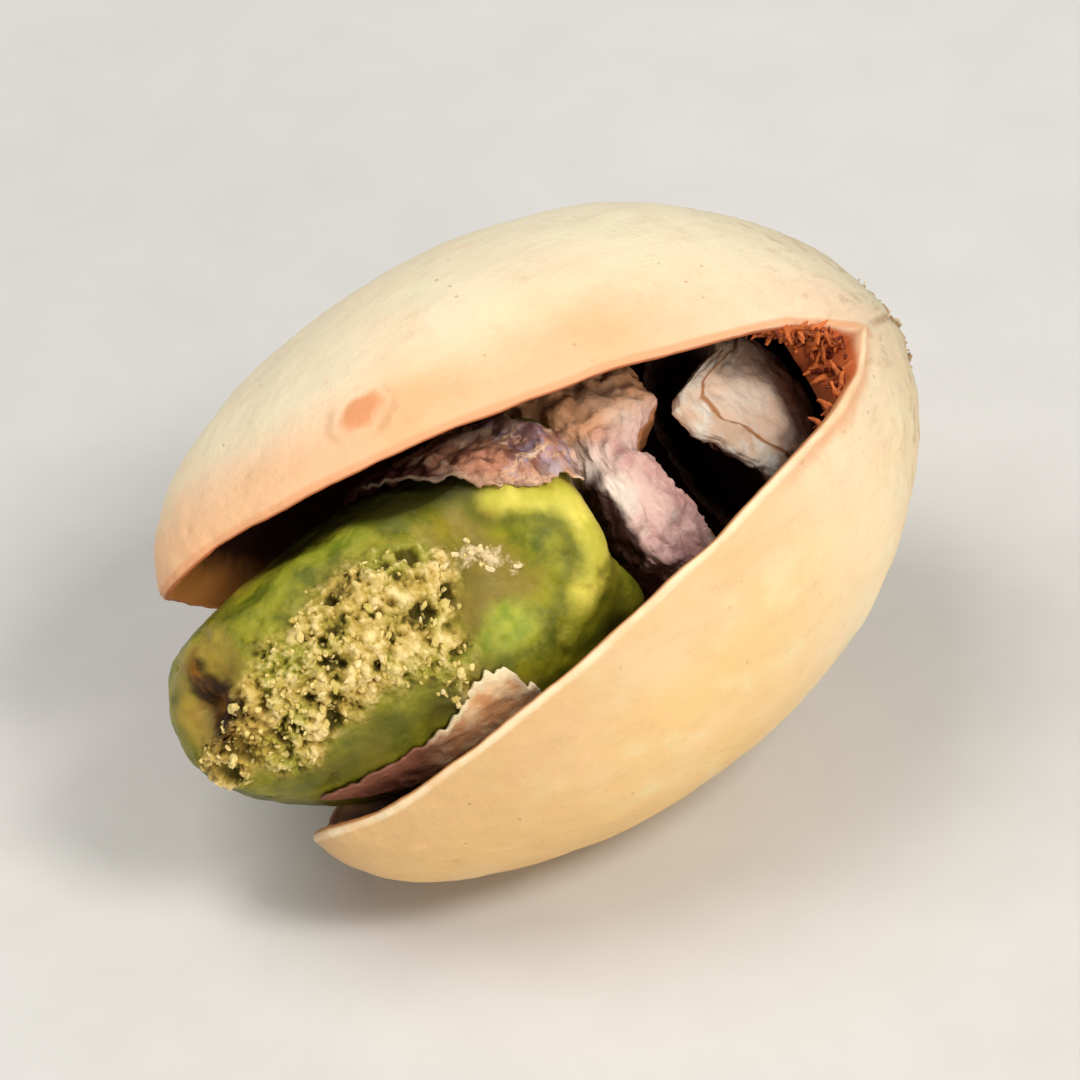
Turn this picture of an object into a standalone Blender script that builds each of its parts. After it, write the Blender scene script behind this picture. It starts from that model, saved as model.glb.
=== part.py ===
"""A roasted pistachio in its split shell, lying on a table with the mouth of the shell open.

The shell is one woody piece: two valves still grown together at the stem end. The seed inside
has broken across into three pieces, which rest loose in the shell.

Nut frame, before it is laid down: the stem end is at x = 0 and the tip at x = LENGTH, the suture
plane is z = 0, +y is the side with the long split, and the upper valve is at z > 0.
"""

import math

import bpy
import numpy as np
from mathutils import Matrix, Vector, noise

MM = 0.001

# Closed shell, outside
LENGTH = 20.0 * MM
WIDTH = 13.4 * MM
THICKNESS = 12.6 * MM
STEM_FULLNESS = 0.12
CROWN_PLACE = 0.45 * LENGTH
TIP_LEANNESS = 0.12
BEAK_HEIGHT = 0.45 * MM
BEAK_HALF_ANGLE = 0.26
DENT_DEPTH = 0.016
DENT_SIZE = 5.5 * MM

# Wall of the shell
STEM_WALL = 2.2 * MM
TIP_WALL = 1.0 * MM
SIDE_WALL = 1.0 * MM
CROWN_WALL = 0.85 * MM
RIM_ROUNDING = 0.12 * MM

# Where the stem broke off
SCAR_RING_RADIUS = 1.35 * MM
SCAR_RING_WIDTH = 0.55 * MM
SCAR_RING_HEIGHT = 0.3 * MM
SCAR_HOLLOW_DEPTH = 0.25 * MM
SCAR_HOLLOW_WIDTH = 0.7 * MM

# Split: each valve turns about the line between the two ends of the split
SPLIT_END_LONG_SIDE = 2.7 * MM
SPLIT_END_SHORT_SIDE = 8.6 * MM
VALVE_TURN = math.radians(14.7)
TURN_RUN = 3.0 * MM
TURN_EASE = 0.7
UPPER_RIM_RECESS = 0.36 * MM
LOWER_RIM_RECESS = 0.75 * MM
RIM_RECESS_RUN = 1.5 * MM
TIP_CLOSENESS = 0.8
RIM_WAVE = 0.07 * MM
RIM_WAVE_SIZE = 1.6 * MM

# Mesh of the shell
COLUMNS = 72
COLUMN_CROWDING = 0.22
OUTER_RINGS = 14
INNER_RINGS = 7
RIM_CROWDING = 1.5
SHARP_EDGE = math.radians(50)

# Seed, before it broke
SEED_STEM_END = 3.0 * MM
SEED_TIP_END = 21.8 * MM
SEED_WIDTH = 9.6 * MM
SEED_THICKNESS = 8.9 * MM
SEED_BLUNTNESS = 2.45
SEED_TAPER = 0.09
SEED_BUMP = 0.035
SEED_BUMP_SIZE = 2.6 * MM
FRACTURE_ROUGHNESS = 0.22 * MM
FRACTURE_SIZE = 1.4 * MM
SEED_SIDES = 32
CAP_RINGS = 4
FLAT_ABOVE = 1.9 * MM
FLAT_SHARE = 0.55

# Breaks across the seed: the x of the middle, and how much it changes towards +y and towards +z
FRONT_BREAK = (11.4 * MM, 0.0, -0.8 * MM)
MIDDLE_TIP_BREAK = (10.9 * MM, 0.0, -0.8 * MM)
MIDDLE_STEM_BREAK = (8.2 * MM, 0.4 * MM, -0.3 * MM)
BACK_BREAK = (5.9 * MM, 1.5 * MM, 0.1 * MM)

# How far each broken piece has settled from where it grew
FRONT_SHIFT = Vector((0.0, 0.05, -0.04)) * MM
MIDDLE_SHIFT = Vector((0.0, -0.7, -0.4)) * MM
BACK_SHIFT = Vector((-0.45, -0.6, -0.2)) * MM

# Rest pose: long split facing up and forward, tip to the left and a little down
REST_ROLL = math.radians(51.2)
REST_PITCH = math.radians(-3.2)

# Worn spot that it rests on: a flat triangle round the point below its weight, with faces that rise round it
WORN_DEPTH = 0.42 * MM
BELOW_WEIGHT = Vector((-0.68, 0.11, 0.0)) * MM
WORN_CORNERS = ((-2.4, -1.45), (3.45, -1.9), (0.1, 1.6))
WORN_HEIGHT = 20.0 * MM
WORN_SPREAD = 100.0


def smooth_step(value):
    """0 below 0, 1 above 1, and smooth between."""
    clipped = min(max(value, 0.0), 1.0)
    return clipped * clipped * (3.0 - 2.0 * clipped)


def wobble(point, size, seed):
    """Smooth noise from about -1 to 1 that changes over the given size."""
    return noise.noise(Vector(point) / size + Vector((seed, 2.0 * seed, -seed)))


def bell(value, width):
    """A smooth hump of height 1 about zero."""
    return math.exp(-((value / width) ** 2))


def outline(angle, stem_x, tip_x, half_width):
    """The egg-shaped edge of a valve in the suture plane, angle 0 at the tip and 90 degrees at +y."""
    middle, half = (stem_x + tip_x) / 2, (tip_x - stem_x) / 2
    x = middle + half * math.cos(angle)
    y = half_width * math.sin(angle) * (1.0 - STEM_FULLNESS * math.cos(angle))
    from_tip = (angle + math.pi) % (2 * math.pi) - math.pi
    return x + BEAK_HEIGHT * bell(from_tip, BEAK_HALF_ANGLE), y


def angle_of_x(x, side):
    """The outline's angle where it passes the given x, on the +y side (1) or the -y side (-1)."""
    angle = math.acos((x - LENGTH / 2) / (LENGTH / 2))
    return angle if side > 0 else 2 * math.pi - angle


LONG_SIDE_END = angle_of_x(SPLIT_END_LONG_SIDE, 1)
SHORT_SIDE_END = angle_of_x(SPLIT_END_SHORT_SIDE, -1)
HINGE_A = Vector(outline(LONG_SIDE_END, 0.0, LENGTH, WIDTH / 2))
HINGE_B = Vector(outline(SHORT_SIDE_END, 0.0, LENGTH, WIDTH / 2))
HINGE_LINE = (HINGE_B - HINGE_A).normalized()
TO_TIP = Vector((-HINGE_LINE.y, HINGE_LINE.x))


def column_angles():
    """The angles of the columns, crowded at the tip and the stem end, with one at each end of the split."""
    even = [2 * math.pi * i / COLUMNS for i in range(COLUMNS)]
    angles = [a - COLUMN_CROWDING * math.sin(2 * a) for a in even]
    for end in (LONG_SIDE_END, SHORT_SIDE_END):
        nearest = min(range(COLUMNS), key=lambda i: abs(angles[i] - end))
        angles[nearest] = end
    return angles


def is_joined(angle):
    return LONG_SIDE_END - 1e-9 <= angle <= SHORT_SIDE_END + 1e-9


def rim_recess(angle, side):
    """How far a valve's edge stands back from the suture plane: nothing at the split's ends, little at the tip."""
    if is_joined(angle):
        return 0.0
    edge = Vector(outline(angle, 0.0, LENGTH, WIDTH / 2))
    from_end = min((edge - HINGE_A).length, (edge - HINGE_B).length)
    wave = RIM_WAVE * wobble((edge.x, edge.y, 0.0), RIM_WAVE_SIZE, 4.0)
    from_tip = (angle + math.pi) % (2 * math.pi) - math.pi
    share = math.sqrt(smooth_step(from_end / RIM_RECESS_RUN))
    share *= 1.0 - TIP_CLOSENESS * bell(from_tip, BEAK_HALF_ANGLE)
    recess = UPPER_RIM_RECESS if side > 0 else LOWER_RIM_RECESS
    return (recess + wave) * share


def scar_relief(point):
    """Height of the ring and the hollow that the stem left, along -x."""
    reach = math.hypot(point.y, point.z)
    ring = SCAR_RING_HEIGHT * bell(reach - SCAR_RING_RADIUS, SCAR_RING_WIDTH)
    return ring - SCAR_HOLLOW_DEPTH * bell(reach, SCAR_HOLLOW_WIDTH)


def opened(point, side):
    """A point of the closed upper valve, turned out about the hinge line for that side."""
    from_hinge = Vector((point.x, point.y)) - HINGE_A
    along, away = from_hinge.dot(HINGE_LINE), from_hinge.dot(TO_TIP)
    height = point.z
    start, end = -TURN_EASE * height, TURN_RUN
    turn = VALVE_TURN * smooth_step((away - start) / (end - start))
    new_away = away * math.cos(turn) - height * math.sin(turn)
    new_height = height * math.cos(turn) + away * math.sin(turn)
    flat = HINGE_A + along * HINGE_LINE + new_away * TO_TIP
    return Vector((flat.x, flat.y, side * new_height))


def valve_point(angle, share, side, inner):
    """A point of a valve: share is 0 at the crown and 1 at the edge; side is 1, -1, or 0 on the joined seam."""
    if inner:
        x, y = outline(angle, STEM_WALL, LENGTH - TIP_WALL, WIDTH / 2 - SIDE_WALL)
        half_height = THICKNESS / 2 - CROWN_WALL
    else:
        x, y = outline(angle, 0.0, LENGTH, WIDTH / 2)
        half_height = THICKNESS / 2
    edge_slope = math.pi / 2 - rim_recess(angle, side) / half_height
    slope = edge_slope * (1.0 - (1.0 - share) ** RIM_CROWDING)
    spread = math.sin(slope)
    closed = Vector(
        (
            CROWN_PLACE + (x - CROWN_PLACE) * spread,
            y * spread,
            half_height * math.cos(slope) if side else 0.0,
        )
    )
    past_crown = max(closed.x - CROWN_PLACE, 0.0) / (LENGTH - CROWN_PLACE)
    closed.z *= 1.0 - TIP_LEANNESS * past_crown**2
    middle = Vector((LENGTH / 2, 0.0, 0.0))
    lump = wobble((closed.x, closed.y, side * closed.z), DENT_SIZE, 1.0)
    closed = middle + (closed - middle) * (1.0 + DENT_DEPTH * lump)
    if not inner and closed.x < CROWN_PLACE:
        closed.x -= scar_relief(closed)
    return opened(closed, side) if side else closed


def shell_mesh():
    """Both valves, outside and inside, grown together round the stem end and open along the split."""
    angles = column_angles()
    points, numbers, faces = [], {}, []

    def vertex(inner, side, ring, column):
        column %= COLUMNS
        rings = INNER_RINGS if inner else OUTER_RINGS
        if ring == rings and is_joined(angles[column]):
            side = 0
        if ring == 0:
            column = 0
        key = (inner, side, ring, column)
        if key not in numbers:
            numbers[key] = len(points)
            points.append(valve_point(angles[column], ring / rings, side, inner))
        return numbers[key]

    def lip(side, column):
        """The rounded middle of the valve's edge."""
        column %= COLUMNS
        joined = is_joined(angles[column])
        key = ("lip", 0 if joined else side, column)
        if key not in numbers:
            outer = points[vertex(False, side, OUTER_RINGS, column)]
            inner = points[vertex(True, side, INNER_RINGS, column)]
            below = points[vertex(False, side, OUTER_RINGS - 1, column)]
            out = Vector() if joined else (outer - below).normalized() * RIM_ROUNDING
            numbers[key] = len(points)
            points.append((outer + inner) / 2 + out)
        return numbers[key]

    def add(corners, side, flipped):
        keep = list(dict.fromkeys(corners))
        faces.append(keep if (side > 0) != flipped else keep[::-1])

    for side in (1, -1):
        for column in range(COLUMNS):
            after = column + 1
            for inner, rings in ((False, OUTER_RINGS), (True, INNER_RINGS)):
                for ring in range(rings):
                    corners = [
                        vertex(inner, side, ring, column),
                        vertex(inner, side, ring + 1, column),
                        vertex(inner, side, ring + 1, after),
                        vertex(inner, side, ring, after),
                    ]
                    add(corners, side, inner)
            if is_joined(angles[column]) and is_joined(angles[after % COLUMNS]):
                continue
            outer = [vertex(False, side, OUTER_RINGS, c) for c in (column, after)]
            inner = [vertex(True, side, INNER_RINGS, c) for c in (column, after)]
            lips = [lip(side, c) for c in (column, after)]
            add([outer[0], lips[0], lips[1], outer[1]], side, False)
            add([lips[0], inner[0], inner[1], lips[1]], side, False)
    return points, faces


def seed_ring(x_of):
    """One ring of the seed's surface; x_of gives each point's x from its place across the seed."""
    ring = []
    for k in range(SEED_SIDES):
        turn = 2 * math.pi * k / SEED_SIDES
        across = Vector((0.0, math.cos(turn), math.sin(turn)))
        x = x_of(across)
        place = 2 * (x - SEED_STEM_END) / (SEED_TIP_END - SEED_STEM_END) - 1
        size = max(1.0 - abs(place) ** SEED_BLUNTNESS, 0.0) ** 0.5 * (1.0 - SEED_TAPER * place)
        y = SEED_WIDTH / 2 * size * across.y
        z = SEED_THICKNESS / 2 * size * across.z
        lump = 1.0 + SEED_BUMP * wobble((x, y, z), SEED_BUMP_SIZE, 7.0)
        ring.append(Vector((x, y * lump, z * lump)))
    return ring


def break_x(fracture):
    """The x of a fracture across the seed: a leaning plane."""
    place, lean_y, lean_z = fracture

    def x_of(across):
        return place + lean_y * across.y + lean_z * across.z

    return x_of


def broken_face(ring, seed):
    """Rings from near the middle out to the edge of a rough fracture, with the middle point first."""
    middle = sum(ring, Vector()) / len(ring)
    rings = []
    for k in range(1, CAP_RINGS):
        share = k / CAP_RINGS
        inner = []
        for edge in ring:
            point = middle.lerp(edge, share)
            rough = FRACTURE_ROUGHNESS * wobble(point, FRACTURE_SIZE, seed)
            inner.append(point + Vector((rough * (1.0 - share**2), 0.0, 0.0)))
        rings.append(inner)
    return [[middle], *rings]


def seed_piece(start, end, rings_between, seed, shift):
    """Rings of a piece of the seed from one x to the other; each end is a fracture or the seed's own end."""
    rings = []
    for k in range(rings_between + 1):
        share = k / rings_between
        if start is None:
            share = 1 - (1 - share) ** 2 if end is None else share**2
        elif end is None:
            share = 1 - (1 - share) ** 2

        def x_of(across, share=share):
            from_x = SEED_STEM_END if start is None else start(across)
            to_x = SEED_TIP_END if end is None else end(across)
            return from_x + (to_x - from_x) * share

        rings.append(seed_ring(x_of))
    first = [[rings[0][0]]] if start is None else broken_face(rings[0], seed)
    last = [[rings[-1][0]]] if end is None else broken_face(rings[-1], seed + 3.0)
    body = rings[1:] if start is None else rings
    body = body[:-1] if end is None else body
    return [[point + shift for point in ring] for ring in first + body + last[::-1]]


def flattened(ring):
    """The ring with its top side pressed down, as the front piece grew flatter above than below."""
    return [Vector((p.x, p.y, p.z - FLAT_SHARE * max(p.z - FLAT_ABOVE, 0.0))) for p in ring]


def skinned(rings):
    """Points and faces of a closed surface through rings; the first and last are single points."""
    points, faces, starts = [], [], []
    for ring in rings:
        starts.append(len(points))
        points.extend(ring)
    for k in range(len(rings) - 1):
        lower, upper = starts[k], starts[k + 1]
        for i in range(SEED_SIDES):
            after = (i + 1) % SEED_SIDES
            if k == 0:
                faces.append([lower, upper + after, upper + i])
            elif k == len(rings) - 2:
                faces.append([lower + i, lower + after, upper])
            else:
                faces.append([lower + i, lower + after, upper + after, upper + i])
    return points, faces


def material(name, colour, roughness):
    made = bpy.data.materials.new(name)
    made.use_nodes = True
    shader = made.node_tree.nodes["Principled BSDF"]
    shader.inputs["Base Color"].default_value = (*colour, 1.0)
    shader.inputs["Roughness"].default_value = roughness
    shader.inputs["Metallic"].default_value = 0.0
    return made


def add_object(name, shape, finish, holder):
    points, faces = shape
    mesh = bpy.data.meshes.new(name)
    mesh.from_pydata([tuple(p) for p in points], [], faces)
    mesh.shade_smooth()
    mesh.set_sharp_from_angle(angle=SHARP_EDGE)
    mesh.materials.append(finish)
    made = bpy.data.objects.new(name, mesh)
    made.parent = holder
    bpy.context.scene.collection.objects.link(made)
    return made


def world_corners(objects):
    points = np.array([o.matrix_world @ v.co for o in objects for v in o.data.vertices])
    return points.min(axis=0), points.max(axis=0)


def lay_down(holder, pieces):
    """Turns the nut to how it lies, and puts the middle of its underside at the origin."""
    level = Matrix(
        (
            (-1.0, 0.0, 0.0),
            (0.0, -math.cos(REST_ROLL), math.sin(REST_ROLL)),
            (0.0, math.sin(REST_ROLL), math.cos(REST_ROLL)),
        )
    )
    lying = Matrix.Rotation(REST_PITCH, 3, "Y") @ level
    holder.rotation_euler = lying.to_euler()
    bpy.context.view_layer.update()
    low, high = world_corners(pieces)
    middle = (low + high) / 2
    holder.location = (-middle[0], -middle[1], -low[2] - WORN_DEPTH)
    bpy.context.view_layer.update()


def wear_rest_spot(shell):
    """Cuts away what is outside an upturned three-sided cone, whose small end is the flat spot."""
    corners = [BELOW_WEIGHT + Vector((x, y, 0.0)) * MM for x, y in WORN_CORNERS]
    middle = sum(corners, Vector()) / 3
    top = [middle + (corner - middle) * WORN_SPREAD + Vector((0.0, 0.0, WORN_HEIGHT)) for corner in corners]
    mesh = bpy.data.meshes.new("unworn_space")
    faces = [(2, 1, 0), (3, 4, 5), (0, 1, 4, 3), (1, 2, 5, 4), (2, 0, 3, 5)]
    mesh.from_pydata([tuple(p) for p in corners + top], [], faces)
    space = bpy.data.objects.new("unworn_space", mesh)
    bpy.context.scene.collection.objects.link(space)
    space.hide_render = True
    space.display_type = "WIRE"
    worn = shell.modifiers.new("worn_spot", "BOOLEAN")
    worn.operation = "INTERSECT"
    worn.solver = "EXACT"
    worn.object = space


def main():
    for old in list(bpy.data.objects):
        bpy.data.objects.remove(old)
    holder = bpy.data.objects.new("nut_lying", None)
    bpy.context.scene.collection.objects.link(holder)

    shell_finish = material("shell_wood", (0.72, 0.55, 0.34), 0.55)
    flesh_finish = material("seed_flesh", (0.33, 0.38, 0.08), 0.6)
    skin_finish = material("seed_skin", (0.42, 0.26, 0.24), 0.65)

    shell = add_object("shell", shell_mesh(), shell_finish, holder)
    front = seed_piece(break_x(FRONT_BREAK), None, 10, 11.0, FRONT_SHIFT)
    front = [flattened(ring) for ring in front]
    middle = seed_piece(break_x(MIDDLE_STEM_BREAK), break_x(MIDDLE_TIP_BREAK), 3, 17.0, MIDDLE_SHIFT)
    back = seed_piece(None, break_x(BACK_BREAK), 4, 23.0, BACK_SHIFT)
    pieces = [
        shell,
        add_object("kernel_front", skinned(front), flesh_finish, holder),
        add_object("kernel_middle", skinned(middle), skin_finish, holder),
        add_object("kernel_back", skinned(back), skin_finish, holder),
    ]
    lay_down(holder, pieces)
    wear_rest_spot(shell)


main()
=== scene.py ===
import math

import bpy
import numpy as np
from mathutils import Matrix, Vector, noise


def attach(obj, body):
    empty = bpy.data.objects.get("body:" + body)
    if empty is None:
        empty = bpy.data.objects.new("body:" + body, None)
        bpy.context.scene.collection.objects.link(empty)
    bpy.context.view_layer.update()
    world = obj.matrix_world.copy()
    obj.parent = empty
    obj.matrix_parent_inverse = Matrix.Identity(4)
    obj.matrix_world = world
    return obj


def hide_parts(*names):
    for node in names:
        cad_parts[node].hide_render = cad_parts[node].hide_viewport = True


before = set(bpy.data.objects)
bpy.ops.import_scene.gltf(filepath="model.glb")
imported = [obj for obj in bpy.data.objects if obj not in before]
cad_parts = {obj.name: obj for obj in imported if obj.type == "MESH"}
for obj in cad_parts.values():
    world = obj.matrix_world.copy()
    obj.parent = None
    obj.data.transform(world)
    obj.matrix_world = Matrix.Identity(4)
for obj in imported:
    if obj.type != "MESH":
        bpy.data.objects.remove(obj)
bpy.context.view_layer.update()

# Camera: looks down into the mouth of the nut from the front left, through a long lens, as in the photograph.
CAMERA_AZIMUTH = math.radians(-40.2)
CAMERA_ELEVATION = math.radians(40.0)
CAMERA_DISTANCE = 0.30
PICTURE_WIDTH = 0.0265
LOOKED_AT = Vector((-0.0001, -0.0002, 0.0067))

camera = bpy.data.objects.new("camera", bpy.data.cameras.new("camera"))
bpy.context.scene.collection.objects.link(camera)
bpy.context.scene.camera = camera
to_camera = Vector(
    (
        math.sin(CAMERA_AZIMUTH) * math.cos(CAMERA_ELEVATION),
        -math.cos(CAMERA_AZIMUTH) * math.cos(CAMERA_ELEVATION),
        math.sin(CAMERA_ELEVATION),
    )
)
camera.location = LOOKED_AT + to_camera * CAMERA_DISTANCE
camera.rotation_euler = (-to_camera).to_track_quat("-Z", "Y").to_euler()
camera.data.sensor_width = 36.0
camera.data.lens = 36.0 * CAMERA_DISTANCE / PICTURE_WIDTH
camera.data.clip_start = 0.01
camera.data.clip_end = 5.0


# Shell: the hard woody wall of the nut, cream to tan. It grew in one piece and split along its seam
# as it ripened, so its two valves are still joined at the stem end and gape at the tip.
# All sizes of the nut are in millimetres, in its own frame: stem end at x = 0, seam plane at z = 0,
# long side of the split towards +y, upper valve at z > 0.
LENGTH = 20.0
WIDTH = 13.4
THICKNESS = 12.6
STEM_FULLNESS = 0.12
CROWN_PLACE = 0.45 * LENGTH
TIP_LEANNESS = 0.12
BEAK_HEIGHT = 0.45
BEAK_HALF_ANGLE = 0.26
DENT_DEPTH = 0.016
DENT_SIZE = 5.5
STEM_WALL = 2.2
TIP_WALL = 1.0
SIDE_WALL = 1.0
CROWN_WALL = 0.85
RIM_ROUNDING = 0.12
RIM_THINNING = 0.72
RIM_THINNING_RUN = 0.35
SCAR_RING_RADIUS = 1.35
SCAR_RING_WIDTH = 0.55
SCAR_RING_HEIGHT = 0.3
SCAR_HOLLOW_DEPTH = 0.25
SCAR_HOLLOW_WIDTH = 0.7
SPLIT_END_LONG_SIDE = 2.7
SPLIT_END_SHORT_SIDE = 8.6
VALVE_TURN = math.radians(14.7)
TURN_RUN = 3.0
TURN_EASE = 0.7
UPPER_RIM_RECESS = 0.36
LOWER_RIM_RECESS = 0.75
RIM_RECESS_RUN = 1.5
TIP_CLOSENESS = 0.8
RIM_WAVE = 0.07
RIM_WAVE_SIZE = 1.6
SHELL_COLUMNS = 360
COLUMN_CROWDING = 0.22
OUTER_RINGS = 66
INNER_RINGS = 34
LIP_RINGS = 6
RIM_CROWDING = 1.5

# How the nut lies: rolled so that the mouth looks up and forward, tip a little down, on a worn spot
REST_ROLL = math.radians(51.2)
REST_PITCH = math.radians(-3.2)
NUT_PLACE = Vector((10.759, 0.022, 7.325))
WORN_CORNERS = ((-3.08, -1.34), (2.77, -1.79), (-0.58, 1.71))
WORN_RISE = 0.2

MM = 0.001


def smooth_step(value):
    """0 below 0, 1 above 1, and smooth between."""
    clipped = np.clip(value, 0.0, 1.0)
    return clipped * clipped * (3.0 - 2.0 * clipped)


def wobble(point, size, seed):
    """Smooth noise from about -1 to 1 that changes over the given size."""
    return noise.noise(Vector(point) / size + Vector((seed, 2.0 * seed, -seed)))


def bell(value, width):
    """A smooth hump of height 1 about zero."""
    return math.exp(-((value / width) ** 2))


def outline(angle, stem_x, tip_x, half_width):
    """The egg-shaped edge of a valve in the seam plane, angle 0 at the tip and 90 degrees at +y."""
    middle, half = (stem_x + tip_x) / 2, (tip_x - stem_x) / 2
    x = middle + half * math.cos(angle)
    y = half_width * math.sin(angle) * (1.0 - STEM_FULLNESS * math.cos(angle))
    from_tip = (angle + math.pi) % (2 * math.pi) - math.pi
    return x + BEAK_HEIGHT * bell(from_tip, BEAK_HALF_ANGLE), y


def angle_of_x(x, side):
    """The outline's angle where it passes the given x, on the +y side (1) or the -y side (-1)."""
    angle = math.acos((x - LENGTH / 2) / (LENGTH / 2))
    return angle if side > 0 else 2 * math.pi - angle


LONG_SIDE_END = angle_of_x(SPLIT_END_LONG_SIDE, 1)
SHORT_SIDE_END = angle_of_x(SPLIT_END_SHORT_SIDE, -1)
HINGE_A = Vector(outline(LONG_SIDE_END, 0.0, LENGTH, WIDTH / 2))
HINGE_B = Vector(outline(SHORT_SIDE_END, 0.0, LENGTH, WIDTH / 2))
HINGE_LINE = (HINGE_B - HINGE_A).normalized()
TO_TIP = Vector((-HINGE_LINE.y, HINGE_LINE.x))


def column_angles():
    """The angles of the columns, crowded at both ends, with one at each end of the split."""
    even = [2 * math.pi * i / SHELL_COLUMNS for i in range(SHELL_COLUMNS)]
    angles = [a - COLUMN_CROWDING * math.sin(2 * a) for a in even]
    for end in (LONG_SIDE_END, SHORT_SIDE_END):
        nearest = min(range(SHELL_COLUMNS), key=lambda i: abs(angles[i] - end))
        angles[nearest] = end
    return angles


def is_joined(angle):
    return LONG_SIDE_END - 1e-9 <= angle <= SHORT_SIDE_END + 1e-9


def from_split_end(angle):
    """Distance along the seam plane from this place on the outline to the nearest end of the split."""
    edge = Vector(outline(angle, 0.0, LENGTH, WIDTH / 2))
    return min((edge - HINGE_A).length, (edge - HINGE_B).length)


def rim_recess(angle, side):
    """How far a valve's edge stands back from the seam plane."""
    if is_joined(angle):
        return 0.0
    edge = outline(angle, 0.0, LENGTH, WIDTH / 2)
    wave = RIM_WAVE * wobble((*edge, 0.0), RIM_WAVE_SIZE, 4.0)
    from_tip = (angle + math.pi) % (2 * math.pi) - math.pi
    share = math.sqrt(smooth_step(from_split_end(angle) / RIM_RECESS_RUN))
    share *= 1.0 - TIP_CLOSENESS * bell(from_tip, BEAK_HALF_ANGLE)
    recess = UPPER_RIM_RECESS if side > 0 else LOWER_RIM_RECESS
    return (recess + wave) * share


def scar_relief(point):
    """Height of the ring and the hollow that the stem left, along -x."""
    reach = math.hypot(point.y, point.z)
    ring = SCAR_RING_HEIGHT * bell(reach - SCAR_RING_RADIUS, SCAR_RING_WIDTH)
    return ring - SCAR_HOLLOW_DEPTH * bell(reach, SCAR_HOLLOW_WIDTH)


def opened(point, side):
    """A point of the closed upper valve, turned out about the hinge line for that side."""
    from_hinge = Vector((point.x, point.y)) - HINGE_A
    along, away = from_hinge.dot(HINGE_LINE), from_hinge.dot(TO_TIP)
    height = point.z
    start, end = -TURN_EASE * height, TURN_RUN
    turn = VALVE_TURN * smooth_step((away - start) / (end - start))
    new_away = away * math.cos(turn) - height * math.sin(turn)
    new_height = height * math.cos(turn) + away * math.sin(turn)
    flat = HINGE_A + along * HINGE_LINE + new_away * TO_TIP
    return Vector((flat.x, flat.y, side * new_height))


def valve_point(angle, share, side, inner):
    """A point of a valve: share is 0 at the crown and 1 at the edge; side is 1, -1, or 0 on the joined seam."""
    if inner:
        x, y = outline(angle, STEM_WALL, LENGTH - TIP_WALL, WIDTH / 2 - SIDE_WALL)
        half_height = THICKNESS / 2 - CROWN_WALL
    else:
        x, y = outline(angle, 0.0, LENGTH, WIDTH / 2)
        half_height = THICKNESS / 2
    edge_slope = math.pi / 2 - rim_recess(angle, side) / half_height
    slope = edge_slope * (1.0 - (1.0 - share) ** RIM_CROWDING)
    spread = math.sin(slope)
    closed_z = half_height * math.cos(slope) if side else 0.0
    closed = Vector((CROWN_PLACE + (x - CROWN_PLACE) * spread, y * spread, closed_z))
    past_crown = max(closed.x - CROWN_PLACE, 0.0) / (LENGTH - CROWN_PLACE)
    closed.z *= 1.0 - TIP_LEANNESS * past_crown**2
    middle = Vector((LENGTH / 2, 0.0, 0.0))
    lump = wobble((closed.x, closed.y, side * closed.z), DENT_SIZE, 1.0)
    closed = middle + (closed - middle) * (1.0 + DENT_DEPTH * lump)
    if not inner and closed.x < CROWN_PLACE:
        closed.x -= scar_relief(closed)
    return opened(closed, side) if side else closed


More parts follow.
